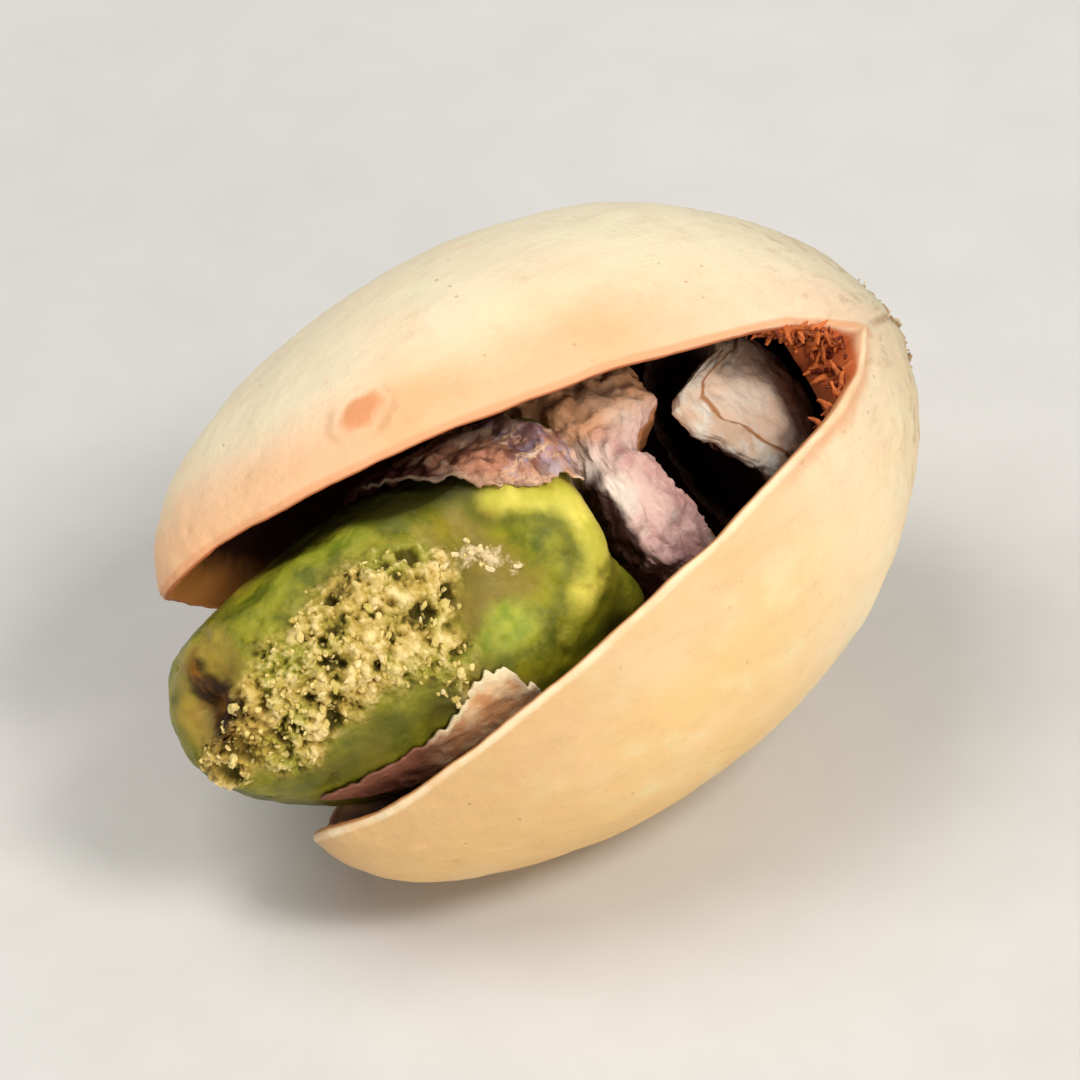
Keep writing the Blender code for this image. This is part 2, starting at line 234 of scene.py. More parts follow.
def shell_mesh():
    """Points, faces and, for each point, its distance to the open edge, to the seam, and its share of inside."""
    angles = column_angles()
    joined = [is_joined(a) for a in angles]
    end_gap = [from_split_end(a) for a in angles]
    points, facts, numbers, faces = [], [], {}, []

    def rim_point(side, column):
        return valve_point(angles[column], 1.0, 0 if joined[column] else side, False)

    rims = {(side, c): rim_point(side, c) for side in (1, -1) for c in range(SHELL_COLUMNS)}

    def add_point(key, point, side, column, inside):
        away = (point - rims[side or 1, column]).length
        to_open = away + (end_gap[column] if joined[column] else 0.0)
        to_seam = away + (0.0 if joined[column] else end_gap[column])
        numbers[key] = len(points)
        points.append(point)
        facts.append((to_open, to_seam, inside))
        return numbers[key]

    def vertex(inner, side, ring, column):
        column %= SHELL_COLUMNS
        rings = INNER_RINGS if inner else OUTER_RINGS
        if ring == rings and joined[column]:
            side = 0
        if ring == 0:
            column = 0
        key = (inner, side, ring, column)
        if key in numbers:
            return numbers[key]
        share = ring / rings
        point = valve_point(angles[column], share, side, inner)
        if inner and not joined[column]:
            thin = RIM_THINNING * smooth_step((share - 1.0 + RIM_THINNING_RUN) / RIM_THINNING_RUN)
            thin *= smooth_step(end_gap[column] / RIM_RECESS_RUN)
            point = point.lerp(rims[side, column], thin)
        return add_point(key, point, side, column, 1.0 if inner else 0.0)

    def lip(side, ring, column):
        """One of the rings round the valve's rounded edge, from its outside to its inside."""
        column %= SHELL_COLUMNS
        if ring == 0:
            return vertex(False, side, OUTER_RINGS, column)
        if ring == LIP_RINGS:
            return vertex(True, side, INNER_RINGS, column)
        key = ("lip", 0 if joined[column] else side, ring, column)
        if key in numbers:
            return numbers[key]
        outer = points[vertex(False, side, OUTER_RINGS, column)]
        inner = points[vertex(True, side, INNER_RINGS, column)]
        below = points[vertex(False, side, OUTER_RINGS - 1, column)]
        share = ring / LIP_RINGS
        out = Vector() if joined[column] else (outer - below).normalized() * RIM_ROUNDING
        point = outer.lerp(inner, share) + out * math.sin(math.pi * share) ** 0.6
        return add_point(key, point, side, column, share)

    def add(corners, side, flipped):
        keep = list(dict.fromkeys(corners))
        faces.append(keep if (side > 0) != flipped else keep[::-1])

    for side in (1, -1):
        for column in range(SHELL_COLUMNS):
            after = column + 1
            for inner, rings in ((False, OUTER_RINGS), (True, INNER_RINGS)):
                for ring in range(rings):
                    corners = [
                        vertex(inner, side, ring, column),
                        vertex(inner, side, ring + 1, column),
                        vertex(inner, side, ring + 1, after),
                        vertex(inner, side, ring, after),
                    ]
                    add(corners, side, inner)
            if joined[column] and joined[after % SHELL_COLUMNS]:
                continue
            for ring in range(LIP_RINGS):
                corners = [
                    lip(side, ring, column),
                    lip(side, ring + 1, column),
                    lip(side, ring + 1, after),
                    lip(side, ring, after),
                ]
                add(corners, side, False)
    return points, faces, np.array(facts)


def lying():
    """The turn from the nut's own frame to how it lies."""
    level = Matrix(
        (
            (-1.0, 0.0, 0.0),
            (0.0, -math.cos(REST_ROLL), math.sin(REST_ROLL)),
            (0.0, math.sin(REST_ROLL), math.cos(REST_ROLL)),
        )
    )
    return Matrix.Rotation(REST_PITCH, 3, "Y") @ level


def worn_level(points):
    """The height below which the worn spot and the faces round it have taken the shell away, in mm."""
    corners = np.array(WORN_CORNERS)
    middle = corners.mean(axis=0)
    level = np.zeros(len(points))
    for k in range(3):
        along = corners[(k + 1) % 3] - corners[k]
        out = np.array((along[1], -along[0])) / np.linalg.norm(along)
        reach = (middle - corners[k]) @ out
        beyond = (points[:, :2] - corners[k]) @ out * (-np.sign(reach))
        level = np.maximum(level, WORN_RISE / abs(reach) * beyond)
    return level


def add_piece(name, points, faces, facts):
    """A smooth mesh lying in place, with each point's place in the nut's frame and its other facts kept on it."""
    nut = np.array([tuple(p) for p in points])
    turn = np.array(lying())
    lain = nut @ turn.T + np.array(NUT_PLACE)
    mesh = bpy.data.meshes.new(name)
    mesh.from_pydata((lain * MM).tolist(), [], faces)
    mesh.shade_smooth()
    kept = mesh.attributes.new("nut", "FLOAT_VECTOR", "POINT")
    kept.data.foreach_set("vector", nut.astype(np.float32).ravel())
    for fact, values in facts.items():
        kept = mesh.attributes.new(fact, "FLOAT", "POINT")
        kept.data.foreach_set("value", np.asarray(values, np.float32))
    piece = bpy.data.objects.new(name, mesh)
    bpy.context.scene.collection.objects.link(piece)
    return piece


class Wire:
    """A socket of a node tree that stands in sums as a number or a vector would."""

    def __init__(self, tree, socket=None):
        self.tree = tree
        self.socket = socket

    def plug(self, socket, value):
        if isinstance(value, Wire):
            self.tree.links.new(value.socket, socket)
        elif socket.type == "VECTOR" and not hasattr(value, "__len__"):
            socket.default_value = (value, value, value)
        elif socket.type == "RGBA":
            socket.default_value = (*value, 1.0)
        else:
            socket.default_value = value

    def node(self, kind, settings, values, output=0):
        """A new node with its settings and then its inputs filled in; the wire is one of its outputs."""
        made = self.tree.nodes.new(kind)
        for name, value in settings.items():
            setattr(made, name, value)
        for name, value in values.items():
            self.plug(made.inputs[name], value)
        return Wire(self.tree, made.outputs[output])

    def sum(self, operation, *terms):
        """A Math node, or a Vector Math node where one of the terms is a vector."""
        vectors = [t for t in terms if hasattr(t, "__len__") or (isinstance(t, Wire) and t.socket.type == "VECTOR")]
        kind = "ShaderNodeVectorMath" if vectors else "ShaderNodeMath"
        return self.node(kind, {"operation": operation}, dict(enumerate(terms)))

    def __add__(self, other):
        return self.sum("ADD", self, other)

    def __radd__(self, other):
        return self.sum("ADD", other, self)

    def __sub__(self, other):
        return self.sum("SUBTRACT", self, other)

    def __rsub__(self, other):
        return self.sum("SUBTRACT", other, self)

    def __mul__(self, other):
        return self.sum("MULTIPLY", self, other)

    def __rmul__(self, other):
        return self.sum("MULTIPLY", other, self)

    def __truediv__(self, other):
        return self.sum("DIVIDE", self, other)

    def __rtruediv__(self, other):
        return self.sum("DIVIDE", other, self)

    def __pow__(self, other):
        return self.sum("POWER", self, other)

    def max(self, other):
        return self.sum("MAXIMUM", self, other)

    def min(self, other):
        return self.sum("MINIMUM", self, other)

    def rise(self, low, high):
        """0 at low, 1 at high and smooth between; it falls where low is above high."""
        settings = {"interpolation_type": "SMOOTHSTEP"}
        return self.node("ShaderNodeMapRange", settings, {"Value": self, "From Min": low, "From Max": high})

    def mix(self, first, second):
        """The first colour where this wire is 0, and the second where it is 1."""
        return self.node("ShaderNodeMix", {"data_type": "RGBA"}, {0: self, 6: first, 7: second}, 2)

    def noise(self, scale, detail=3.0, roughness=0.5, seed=0.0):
        """Noise from 0 to 1 at this place, with so many waves in a millimetre."""
        values = {"Vector": self + (seed, -seed, 0.5 * seed), "Scale": scale, "Detail": detail}
        return self.node("ShaderNodeTexNoise", {}, {**values, "Roughness": roughness})

    def cells(self, scale, output="Distance", feature="F1", seed=0.0):
        """Distance or colour of the nearest of scattered cells."""
        values = {"Vector": self + (seed, seed, -seed), "Scale": scale}
        return self.node("ShaderNodeTexVoronoi", {"feature": feature}, values, output)

    def distance(self, place):
        return self.node("ShaderNodeVectorMath", {"operation": "DISTANCE"}, {0: self, 1: place}, "Value")

    def axes(self):
        split = self.tree.nodes.new("ShaderNodeSeparateXYZ")
        self.plug(split.inputs[0], self)
        return [Wire(self.tree, s) for s in split.outputs]

    def stored(self, name, kind="FLOAT"):
        """A fact kept on the points, read in a Geometry Nodes tree."""
        return self.node("GeometryNodeInputNamedAttribute", {"data_type": kind}, {"Name": name})

    def random(self, low, high, seed):
        """A random number, or a random vector where the limits are vectors, for each point or instance."""
        vector = hasattr(low, "__len__")
        kind = {"data_type": "FLOAT_VECTOR" if vector else "FLOAT"}
        limits = {0: low, 1: high} if vector else {2: low, 3: high}
        return self.node("FunctionNodeRandomValue", kind, {**limits, "Seed": seed}, 0 if vector else 1)

    def store(self, name, value, domain="POINT"):
        """This geometry with a fact kept on its points or instances."""
        settings = {"data_type": "FLOAT", "domain": domain}
        return self.node("GeometryNodeStoreNamedAttribute", settings, {"Geometry": self, "Name": name, "Value": value})

    def push(self, height):
        """This geometry with its points pushed out along the normal by a height in mm."""
        normal = self.node("GeometryNodeInputNormal", {}, {})
        return self.node("GeometryNodeSetPosition", {}, {"Geometry": self, "Offset": normal * (height * MM)})

    def painted(self, name, output="Fac"):
        """A fact kept on the points, read in a material."""
        return self.node("ShaderNodeAttribute", {"attribute_name": name}, {}, output)


def new_material(name, settings):
    """A material with its shader's fixed values set; gives the material, its shader and a wire to build from."""
    made = bpy.data.materials.new(name)
    made.use_nodes = True
    shader = made.node_tree.nodes["Principled BSDF"]
    for socket, value in settings.items():
        shader.inputs[socket].default_value = value
    return made, shader, Wire(made.node_tree)


def finish_material(base, shader, colour, roughness, height, depth):
    """Feeds the shader its colour and roughness, and its bumps from a height whose full range is depth in mm."""
    bump = base.node("ShaderNodeBump", {}, {"Strength": 1.0, "Distance": depth * MM, "Height": height})
    base.plug(shader.inputs["Base Color"], colour)
    base.plug(shader.inputs["Roughness"], roughness)
    base.plug(shader.inputs["Normal"], bump)


def new_tree(name, sizes):
    """A Geometry Nodes tree with a named input for each size; gives the tree and a wire for each input."""
    tree = bpy.data.node_groups.new(name, "GeometryNodeTree")
    tree.interface.new_socket("Surface", in_out="INPUT", socket_type="NodeSocketGeometry")
    tree.interface.new_socket("Surface", in_out="OUTPUT", socket_type="NodeSocketGeometry")
    for size in sizes:
        kind = "NodeSocketInt" if size == "Seed" else "NodeSocketFloat"
        tree.interface.new_socket(size, in_out="INPUT", socket_type=kind)
    entry = tree.nodes.new("NodeGroupInput")
    return tree, {s.name: Wire(tree, s) for s in entry.outputs if s.name}


def end_tree(surface, finish):
    """Realize Instances and Set Material, which end every tree."""
    real = surface.node("GeometryNodeRealizeInstances", {}, {0: surface})
    coated = real.node("GeometryNodeSetMaterial", {}, {"Geometry": real, "Material": finish})
    leave = surface.tree.nodes.new("NodeGroupOutput")
    surface.plug(leave.inputs[0], coated)


def grow(piece, tree, sizes):
    """Runs the tree on the piece with these sizes, and keeps what it makes as the piece's plain mesh."""
    modifier = piece.modifiers.new(tree.name, "NODES")
    modifier.node_group = tree
    for item in tree.interface.items_tree:
        if item.in_out == "INPUT" and item.name in sizes:
            modifier[item.identifier] = sizes[item.name]
    graph = bpy.context.evaluated_depsgraph_get()
    made = bpy.data.meshes.new_from_object(
        piece.evaluated_get(graph), preserve_all_data_layers=True, depsgraph=graph
    )
    piece.modifiers.remove(modifier)
    piece.data = made
    return piece


def keep(piece, slot, *nodes):
    """The piece belongs to the nut's one body and stands for the nodes; the slot is not used."""
    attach(piece, "root")
    if nodes:
        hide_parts(*nodes)


def shell_material():
    made, shader, base = new_material("shell_wood_aged", {"Metallic": 0.0, "Specular IOR Level": 0.35})
    nut = base.painted("nut", "Vector")
    to_open, to_seam, inside = (base.painted(n) for n in ("to_open", "to_seam", "inside"))
    x, y, z = nut.axes()
    upper = z.rise(-0.2, 0.2)

    cream, tan, pale_green = (0.82, 0.67, 0.42), (0.80, 0.54, 0.24), (0.78, 0.72, 0.42)
    peach, orange, rim_red = (0.84, 0.59, 0.34), (0.80, 0.34, 0.15), (0.50, 0.14, 0.05)
    brown, grey_wood = (0.36, 0.19, 0.08), (0.38, 0.31, 0.19)

    mottle = nut.noise(1.3, 4.0, 0.65, seed=1.0)
    body = (nut.noise(0.28, 2.0, seed=3.0) + 0.38 * (0.5 - upper) + 0.25 * (mottle - 0.5)).rise(0.34, 0.66)
    colour = body.mix(cream, tan)
    colour = (nut.noise(0.45, 2.0, seed=9.0).rise(0.45, 0.75) * 0.6).mix(colour, peach)
    colour = (nut.noise(0.6, 3.0, seed=15.0).rise(0.52, 0.72) * 0.5).mix(colour, pale_green)

    warm_reach = nut.noise(0.4, 2.0, seed=21.0)
    near_rim = (to_open - warm_reach * 2.0).rise(1.7, -0.2)
    colour = (near_rim * (0.12 + 0.46 * upper)).mix(colour, orange)
    colour = (near_rim * (1.0 - upper) * 0.45).mix(colour, (0.62, 0.43, 0.25))
    # Painted shade: the lower valve is darker and warmer towards the tip.
    colour = (x.rise(11.5, 17.5) * (1.0 - upper) * 0.6).mix(colour, (0.64, 0.39, 0.16))
    # Painted light: the shell is paler towards the stem end, where the light is strongest.
    colour = (x.rise(11.0, 4.0) * (0.35 + 0.35 * mottle)).mix(colour, (0.88, 0.80, 0.60))

    stretched = nut * (0.22, 1.0, 1.0)
    # Painted highlight: the crown of the upper valve is paler, where light falls from above.
    colour = (z.rise(3.8, 6.4) * (0.25 + 0.4 * mottle)).mix(colour, (0.88, 0.80, 0.62))
    warm_lip = x.rise(9.0, 6.0) * (1.0 - upper) * (to_open + 0.5 * (mottle - 0.5)).rise(0.55, 0.10)
    colour = (warm_lip * 0.6).mix(colour, (0.66, 0.26, 0.11))
    streak = stretched.noise(2.6, 4.0, 0.65, seed=5.0)
    stem_share = x.rise(5.5, 0.5)
    colour = (streak.rise(0.50, 0.74) * (0.10 + 0.55 * stem_share)).mix(colour, brown)
    colour = (stem_share ** 2.0 * 0.3).mix(colour, grey_wood)
    blotch = nut.noise(1.1, 5.0, 0.7, seed=23.0).rise(0.56, 0.74)
    colour = (blotch * 0.22).mix(colour, (0.62, 0.36, 0.17))
    blush = nut.noise(0.9, 4.0, 0.7, seed=25.0).rise(0.58, 0.72)
    colour = (blush * 0.28).mix(colour, (0.86, 0.50, 0.32))

    freckle = nut.cells(2.4, seed=11.0).rise(0.15, 0.06) * nut.noise(0.8, 1.0, seed=13.0).rise(0.52, 0.68)
    colour = (freckle * 0.5).mix(colour, brown)
    knot = ((nut - (15.3, 4.3, 4.5)) * (0.75, 1.2, 1.2)).distance((0.0, 0.0, 0.0))
    knot = knot + 0.5 * (nut.noise(2.0, 3.0, seed=27.0) - 0.5)
    colour = (knot.rise(0.62, 0.25) * 0.9).mix(colour, (0.70, 0.27, 0.10))
    ring = knot.rise(0.62, 0.78) * knot.rise(1.0, 0.82)
    colour = (ring * nut.noise(1.0, 2.0, seed=29.0).rise(0.4, 0.6) * 0.35).mix(colour, brown)

    scar = nut.distance((0.0, 0.0, 0.0))
    colour = scar.rise(2.1, 1.3).mix(colour, grey_wood)
    colour = (nut.noise(3.0, 4.0, 0.7).rise(0.45, 0.6) * scar.rise(1.9, 1.0)).mix(colour, brown)
    colour = (to_seam.rise(0.16, 0.03) * to_open.rise(0.0, 1.2) * 0.55).mix(colour, brown)

    lining = nut.noise(0.9, 4.0, 0.6, seed=31.0).rise(0.3, 0.7).mix((0.72, 0.33, 0.13), (0.46, 0.16, 0.05))
    at_tip = x.rise(14.5, 18.0) * upper
    lining = (at_tip * 0.85).mix(lining, (0.84, 0.32, 0.06))
    # Painted shade: the lining darkens to near black further in from the open edge, less so at the tip.
    depth = to_open + 1.3 * nut.noise(0.9, 3.0, seed=32.0) - 0.5 * at_tip
    lining = depth.rise(0.9, 1.9).mix(lining, (0.07, 0.018, 0.007))
    edge_line = nut.noise(1.2, 2.0, seed=33.0).rise(0.35, 0.7).mix((0.88, 0.74, 0.50), (0.82, 0.58, 0.33))
    edge_line = upper.mix(edge_line, (0.74, 0.34, 0.16))
    colour = (to_open.rise(0.16, 0.03) * 0.75).mix(colour, edge_line)
    colour = inside.rise(0.10, 0.34).mix(colour, upper.mix((0.46, 0.20, 0.07), rim_red))
    colour = inside.rise(0.40, 0.80).mix(colour, lining)
    split_end = nut.distance((3.0, 5.0, 0.0)).rise(2.8, 1.2) * inside.rise(0.02, 0.3)
    colour = split_end.mix(colour, (0.52, 0.12, 0.03))

    fine = nut.noise(6.0, 5.0, 0.65)
    height = fine * 0.5 + streak * (0.25 + 0.5 * stem_share) - freckle * 0.2 + blotch * 0.1
    roughness = 0.46 + 0.16 * nut.noise(1.6, 3.0, seed=41.0) + 0.2 * inside
    finish_material(base, shader, colour, roughness, height, 0.05)
    return made


def weathered_tree(finish):
    """Lumps, streaks, wrinkles at the stem, small pits, a ragged edge and a seam line, pushed into the surface."""
    tree, entry = new_tree(
        "weathered_shell", ("Lump height", "Wrinkle height", "Pit depth", "Seam depth", "Edge raggedness")
    )
    surface = entry["Surface"]
    nut = surface.stored("nut", "FLOAT_VECTOR")
    to_open, to_seam = surface.stored("to_open"), surface.stored("to_seam")
    outside = 1.0 - surface.stored("inside")
    x, _, _ = nut.axes()
    stretched = nut * (0.22, 1.0, 1.0)
    stem_share = x.rise(7.0, 0.5)
    lumps = (nut.noise(0.7, 3.0, 0.55, seed=2.0) - 0.5) * entry["Lump height"]
    wrinkles = (stretched.noise(1.9, 4.0, 0.6, seed=5.0) - 0.5) * (0.2 + 0.8 * stem_share)
    pits = nut.cells(1.1, seed=17.0).rise(0.22, 0.0) * nut.noise(0.35, 1.0, seed=18.0).rise(0.45, 0.6)
    groove = to_seam.rise(0.28, 0.0) * to_open.rise(0.1, 1.5)
    ridge = to_seam.rise(0.9, 0.35) * to_open.rise(0.1, 1.5)
    ragged = (nut.noise(2.6, 4.0, 0.7, seed=19.0) - 0.5) * to_open.rise(0.5, 0.0)
    height = lumps + wrinkles * entry["Wrinkle height"] - pits * entry["Pit depth"]
    height = height + (0.6 * ridge - groove) * entry["Seam depth"]
    height = height * (0.25 + 0.75 * outside) + ragged * entry["Edge raggedness"]
    moved = surface.push(height)
    px, py, pz = surface.node("GeometryNodeInputPosition", {}, {}).axes()
    level = surface.node("ShaderNodeCombineXYZ", {}, {0: px, 1: py, 2: pz.max(surface.stored("worn"))})
    moved = moved.node("GeometryNodeSetPosition", {}, {"Geometry": moved, "Position": level})
    end_tree(moved, finish)
    return tree


shell_points, shell_faces, shell_facts = shell_mesh()
shell_lain = np.array([tuple(p) for p in shell_points]) @ np.array(lying()).T + np.array(NUT_PLACE)
shell = add_piece(
    "shell_visual",
    shell_points,
    shell_faces,
    {
        "to_open": shell_facts[:, 0],
        "to_seam": shell_facts[:, 1],
        "inside": shell_facts[:, 2],
        "worn": worn_level(shell_lain) * MM,
    },
)
shell_finish = shell_material()
shell_sizes = {
    "Lump height": 0.16,
    "Wrinkle height": 0.14,
    "Pit depth": 0.06,
    "Seam depth": 0.06,
    "Edge raggedness": 0.10,
}
grow(shell, weathered_tree(shell_finish), shell_sizes)
keep(shell, "shell_wood", "shell")


# Front of the seed: the largest of the three pieces that the seed has broken into, bright green inside.
# Its thin coat has come off, and its middle has been rubbed to crumbs.
SEED_STEM_END = 3.0
SEED_TIP_END = 21.8
SEED_WIDTH = 9.6
SEED_THICKNESS = 8.9
SEED_BLUNTNESS = 2.45
SEED_TAPER = 0.09
SEED_BUMP = 0.035
SEED_BUMP_SIZE = 2.6
FRONT_BREAK = (
    (-180, 11.4), (-90, 11.6), (-65, 11.5), (-52, 11.0), (-43, 10.75), (-34, 11.0), (-22, 11.45), (-8, 11.55), (8, 11.35),
    (25, 11.0), (60, 10.7), (110, 10.8), (180, 11.4)
)
FRONT_SHIFT = Vector((0.0, 0.05, -0.04))
FRONT_SHOULDER = 0.9
FLAT_ABOVE = 1.9
FLAT_SHARE = 0.55


def seed_point(x, turn):
    """A point of the whole seed's surface at this x, turned so far round from +y towards +z."""
    place = 2 * (x - SEED_STEM_END) / (SEED_TIP_END - SEED_STEM_END) - 1
    size = max(1.0 - abs(place) ** SEED_BLUNTNESS, 0.0) ** 0.5 * (1.0 - SEED_TAPER * place)
    y = SEED_WIDTH / 2 * size * math.cos(turn)
    z = SEED_THICKNESS / 2 * size * math.sin(turn)
    lump = 1.0 + SEED_BUMP * wobble((x, y, z), SEED_BUMP_SIZE, 7.0)
    return Vector((x, y * lump, z * lump))


def from_table(table, turn):
    """The value at this turn, from a table of (degrees, value) that runs from -180 to 180."""
    degrees, values = zip(*table)
    return float(np.interp((math.degrees(turn) + 180.0) % 360.0 - 180.0, degrees, values))


def flattened(point):
    """The point pressed down if it is on the top side, as the front piece grew flatter above than below."""
    return Vector((point.x, point.y, point.z - FLAT_SHARE * max(point.z - FLAT_ABOVE, 0.0)))


def front_break_x(turn):
    """The break of the front piece, which has a corner that sticks out towards the stem below."""
    return from_table(FRONT_BREAK, turn)


def rounded_in(depth, shoulder):
    """How far a rounded edge has drawn in at this depth below the broken face."""
    left = 1.0 - min(depth / shoulder, 1.0)
    return shoulder * (1.0 - math.sqrt(1.0 - left * left))


def seed_piece(start, end, rings, sides, shoulder, shift, rough, seed):
    """Points and faces of a piece of the seed between two ends; an end is a fracture, or None for the seed's own."""
    points, loops = [], []
    turns = [2 * math.pi * k / sides for k in range(sides)]
    for ring in range(rings + 1):
        share = (1.0 - math.cos(math.pi * ring / rings)) / 2
        loop = []
        for turn in turns:
            from_x = SEED_STEM_END if start is None else start(turn)
            to_x = SEED_TIP_END if end is None else end(turn)
            x = from_x + (to_x - from_x) * share
            point = seed_point(x, turn)
            drawn = 0.0
            if start is not None:
                drawn += rounded_in(x - from_x, shoulder)
            if end is not None:
                drawn += rounded_in(to_x - x, shoulder)
            reach = math.hypot(point.y, point.z)
            scale = max(reach - drawn, 0.02) / max(reach, 0.02)
            loop.append(Vector((x, point.y * scale, point.z * scale)))
        loops.append(loop)

    def face_loops(loop, number):
        middle = sum(loop, Vector()) / len(loop)
        caps = []
        for k in range(11, 0, -1):
            cap = []
            for edge in loop:
                point = middle.lerp(edge, k / 12)
                push = wobble(point, 1.4, number) + 0.6 * wobble(point, 0.5, number + 2.0)
                cap.append(point + Vector((rough * push * (1.0 - (k / 12) ** 2), 0.0, 0.0)))
            caps.append(cap)
        return caps

    if start is not None:
        loops = face_loops(loops[0], seed)[::-1] + loops
    if end is not None:
        loops = loops + face_loops(loops[-1], seed + 3.0)
    faces = []
    first_middle, last_middle = (sum(loop, Vector()) / sides for loop in (loops[0], loops[-1]))
    for loop in loops:
        points.extend(point + shift for point in loop)
    for row in range(len(loops) - 1):
        for k in range(sides):
            after = (k + 1) % sides
            low, high = row * sides, (row + 1) * sides
            faces.append([low + k, low + after, high + after, high + k])
    points.extend((first_middle + shift, last_middle + shift))
    top = (len(loops) - 1) * sides
    for k in range(sides):
        after = (k + 1) % sides
        faces.append([len(points) - 2, after, k])
        faces.append([len(points) - 1, top + k, top + after])
    return points, faces


def patch(points, places):
    """How much each point belongs to a patch that is given as (x, y, z, reach, strength) humps in the nut's frame."""
    total = np.zeros(len(points))
    for x, y, z, reach, strength in places:
        away = np.linalg.norm(points - np.array((x, y, z)), axis=1)
        total += strength * np.exp(-((away / reach) ** 2))
    return total


FRONT_FORMS = (
    (13.7, 4.5, 1.1, 0.65, 0.14),
    (12.9, 4.75, 0.7, 0.65, 0.16),
    (12.2, 4.8, 0.1, 0.65, 0.16),
    (12.0, 4.8, -0.8, 0.65, 0.16),
    (12.3, 4.4, -1.7, 0.65, 0.16),
    (13.1, 4.0, -2.3, 0.65, 0.14),
    (14.1, 3.6, -2.8, 0.65, 0.10),
    (14.6, 4.6, -0.1, 0.8, -0.60),
    (15.1, 4.3, -1.3, 0.8, -0.50),
    (13.9, 4.4, -1.2, 0.7, -0.35),
    (14.6, 4.3, 1.1, 0.6, -0.25),
    (16.0, 4.2, -0.6, 0.8, -0.25),
    (17.5, 4.0, 0.5, 0.9, 0.12),
    (19.0, 3.2, 0.2, 0.8, 0.14),
    (21.6, 1.0, 0.5, 0.6, -0.80),
    (21.0, 1.9, 0.9, 0.5, -0.45),
    (21.5, 0.3, 0.0, 0.35, -0.30),
    (21.4, 0.2, -0.4, 0.5, 0.14),
    (20.8, 2.2, 0.5, 0.5, 0.16),
    (21.2, 0.9, 1.3, 0.5, 0.10),
    (18.9, 2.9, -1.9, 0.8, -0.25),
    (17.6, 3.1, -2.4, 0.7, 0.10),
    (20.3, 1.3, -2.2, 0.7, 0.08),
    (14.6, 3.9, 2.3, 0.8, -0.20),
    (16.7, 3.5, 2.0, 0.6, 0.14),
    (18.4, 2.6, 2.0, 0.7, 0.12),
)
CRUMB_PLACES = (
    (17.1, 4.2, 0.3, 1.3, 0.9),
    (18.5, 3.7, 0.2, 1.3, 1.0),
    (17.5, 4.0, -0.8, 1.1, 0.9),
    (20.1, 2.8, -0.2, 1.2, 1.0),
    (19.3, 3.1, -1.0, 0.9, 0.8),
    (21.2, 1.6, -0.5, 0.9, 1.0),
    (21.6, 0.3, -1.0, 0.8, 1.0),
    (20.4, 1.9, -1.6, 0.8, 0.7),
    (15.9, 4.4, 0.2, 0.8, 0.6),
    (16.4, 3.8, -1.6, 0.8, 0.6),
    (16.6, 3.3, -2.6, 0.6, 0.5),
)
FLAKE_PLACES = (
    (15.5, 4.5, 0.4, 0.6, 0.45),
    (14.8, 4.6, 0.4, 0.5, 0.45),
    (14.4, 4.7, -0.1, 0.5, 0.55),
    (14.0, 4.6, -0.7, 0.5, 0.45),
    (16.9, 4.2, 0.7, 0.6, 0.35),
    (16.2, 3.7, -2.0, 0.6, 0.40),
)
LOBE_PLACES = (
    (13.7, 4.5, 1.1, 0.6, 0.7),
    (13.0, 4.7, 0.9, 0.6, 0.8),
    (12.3, 4.8, 0.4, 0.65, 0.8),
    (11.8, 4.9, -0.4, 0.65, 0.8),
    (12.1, 4.6, -1.2, 0.65, 0.8),
    (12.8, 4.3, -1.9, 0.6, 0.8),
    (13.6, 3.9, -2.5, 0.6, 0.6),
)
FRESH_PLACES = (
    (14.8, 4.2, -1.8, 0.8, 1.0),
    (15.7, 4.0, -2.1, 0.6, 0.6),
    (16.9, 3.5, 2.1, 0.6, 0.8),
    (17.8, 3.1, 2.1, 0.6, 0.7),
    (18.9, 2.5, 1.9, 0.7, 0.6),
    (13.2, 3.9, -2.4, 0.5, 0.5),
)
# Painted shadow on the front piece: under the upper rim along the top of the green flesh, along the lower rim and in
# the hollow at the tip.
SHADOW_PLACES = (
    (15.4, 3.3, 2.6, 1.2, 1.3),
    (13.6, 3.9, 2.3, 1.0, 1.3),
    (14.6, 1.5, 2.9, 2.0, 1.3),
    (17.4, 1.4, 2.9, 1.1, 1.0),
    (16.9, 3.2, -2.6, 0.8, 0.7),
    (19.9, 1.6, -2.5, 0.9, 0.5),
    (21.5, 1.2, 0.5, 0.6, 1.3),
    (18.6, 2.6, -2.2, 0.9, 0.5),
    (12.2, 3.6, -3.0, 0.8, 0.8),
)


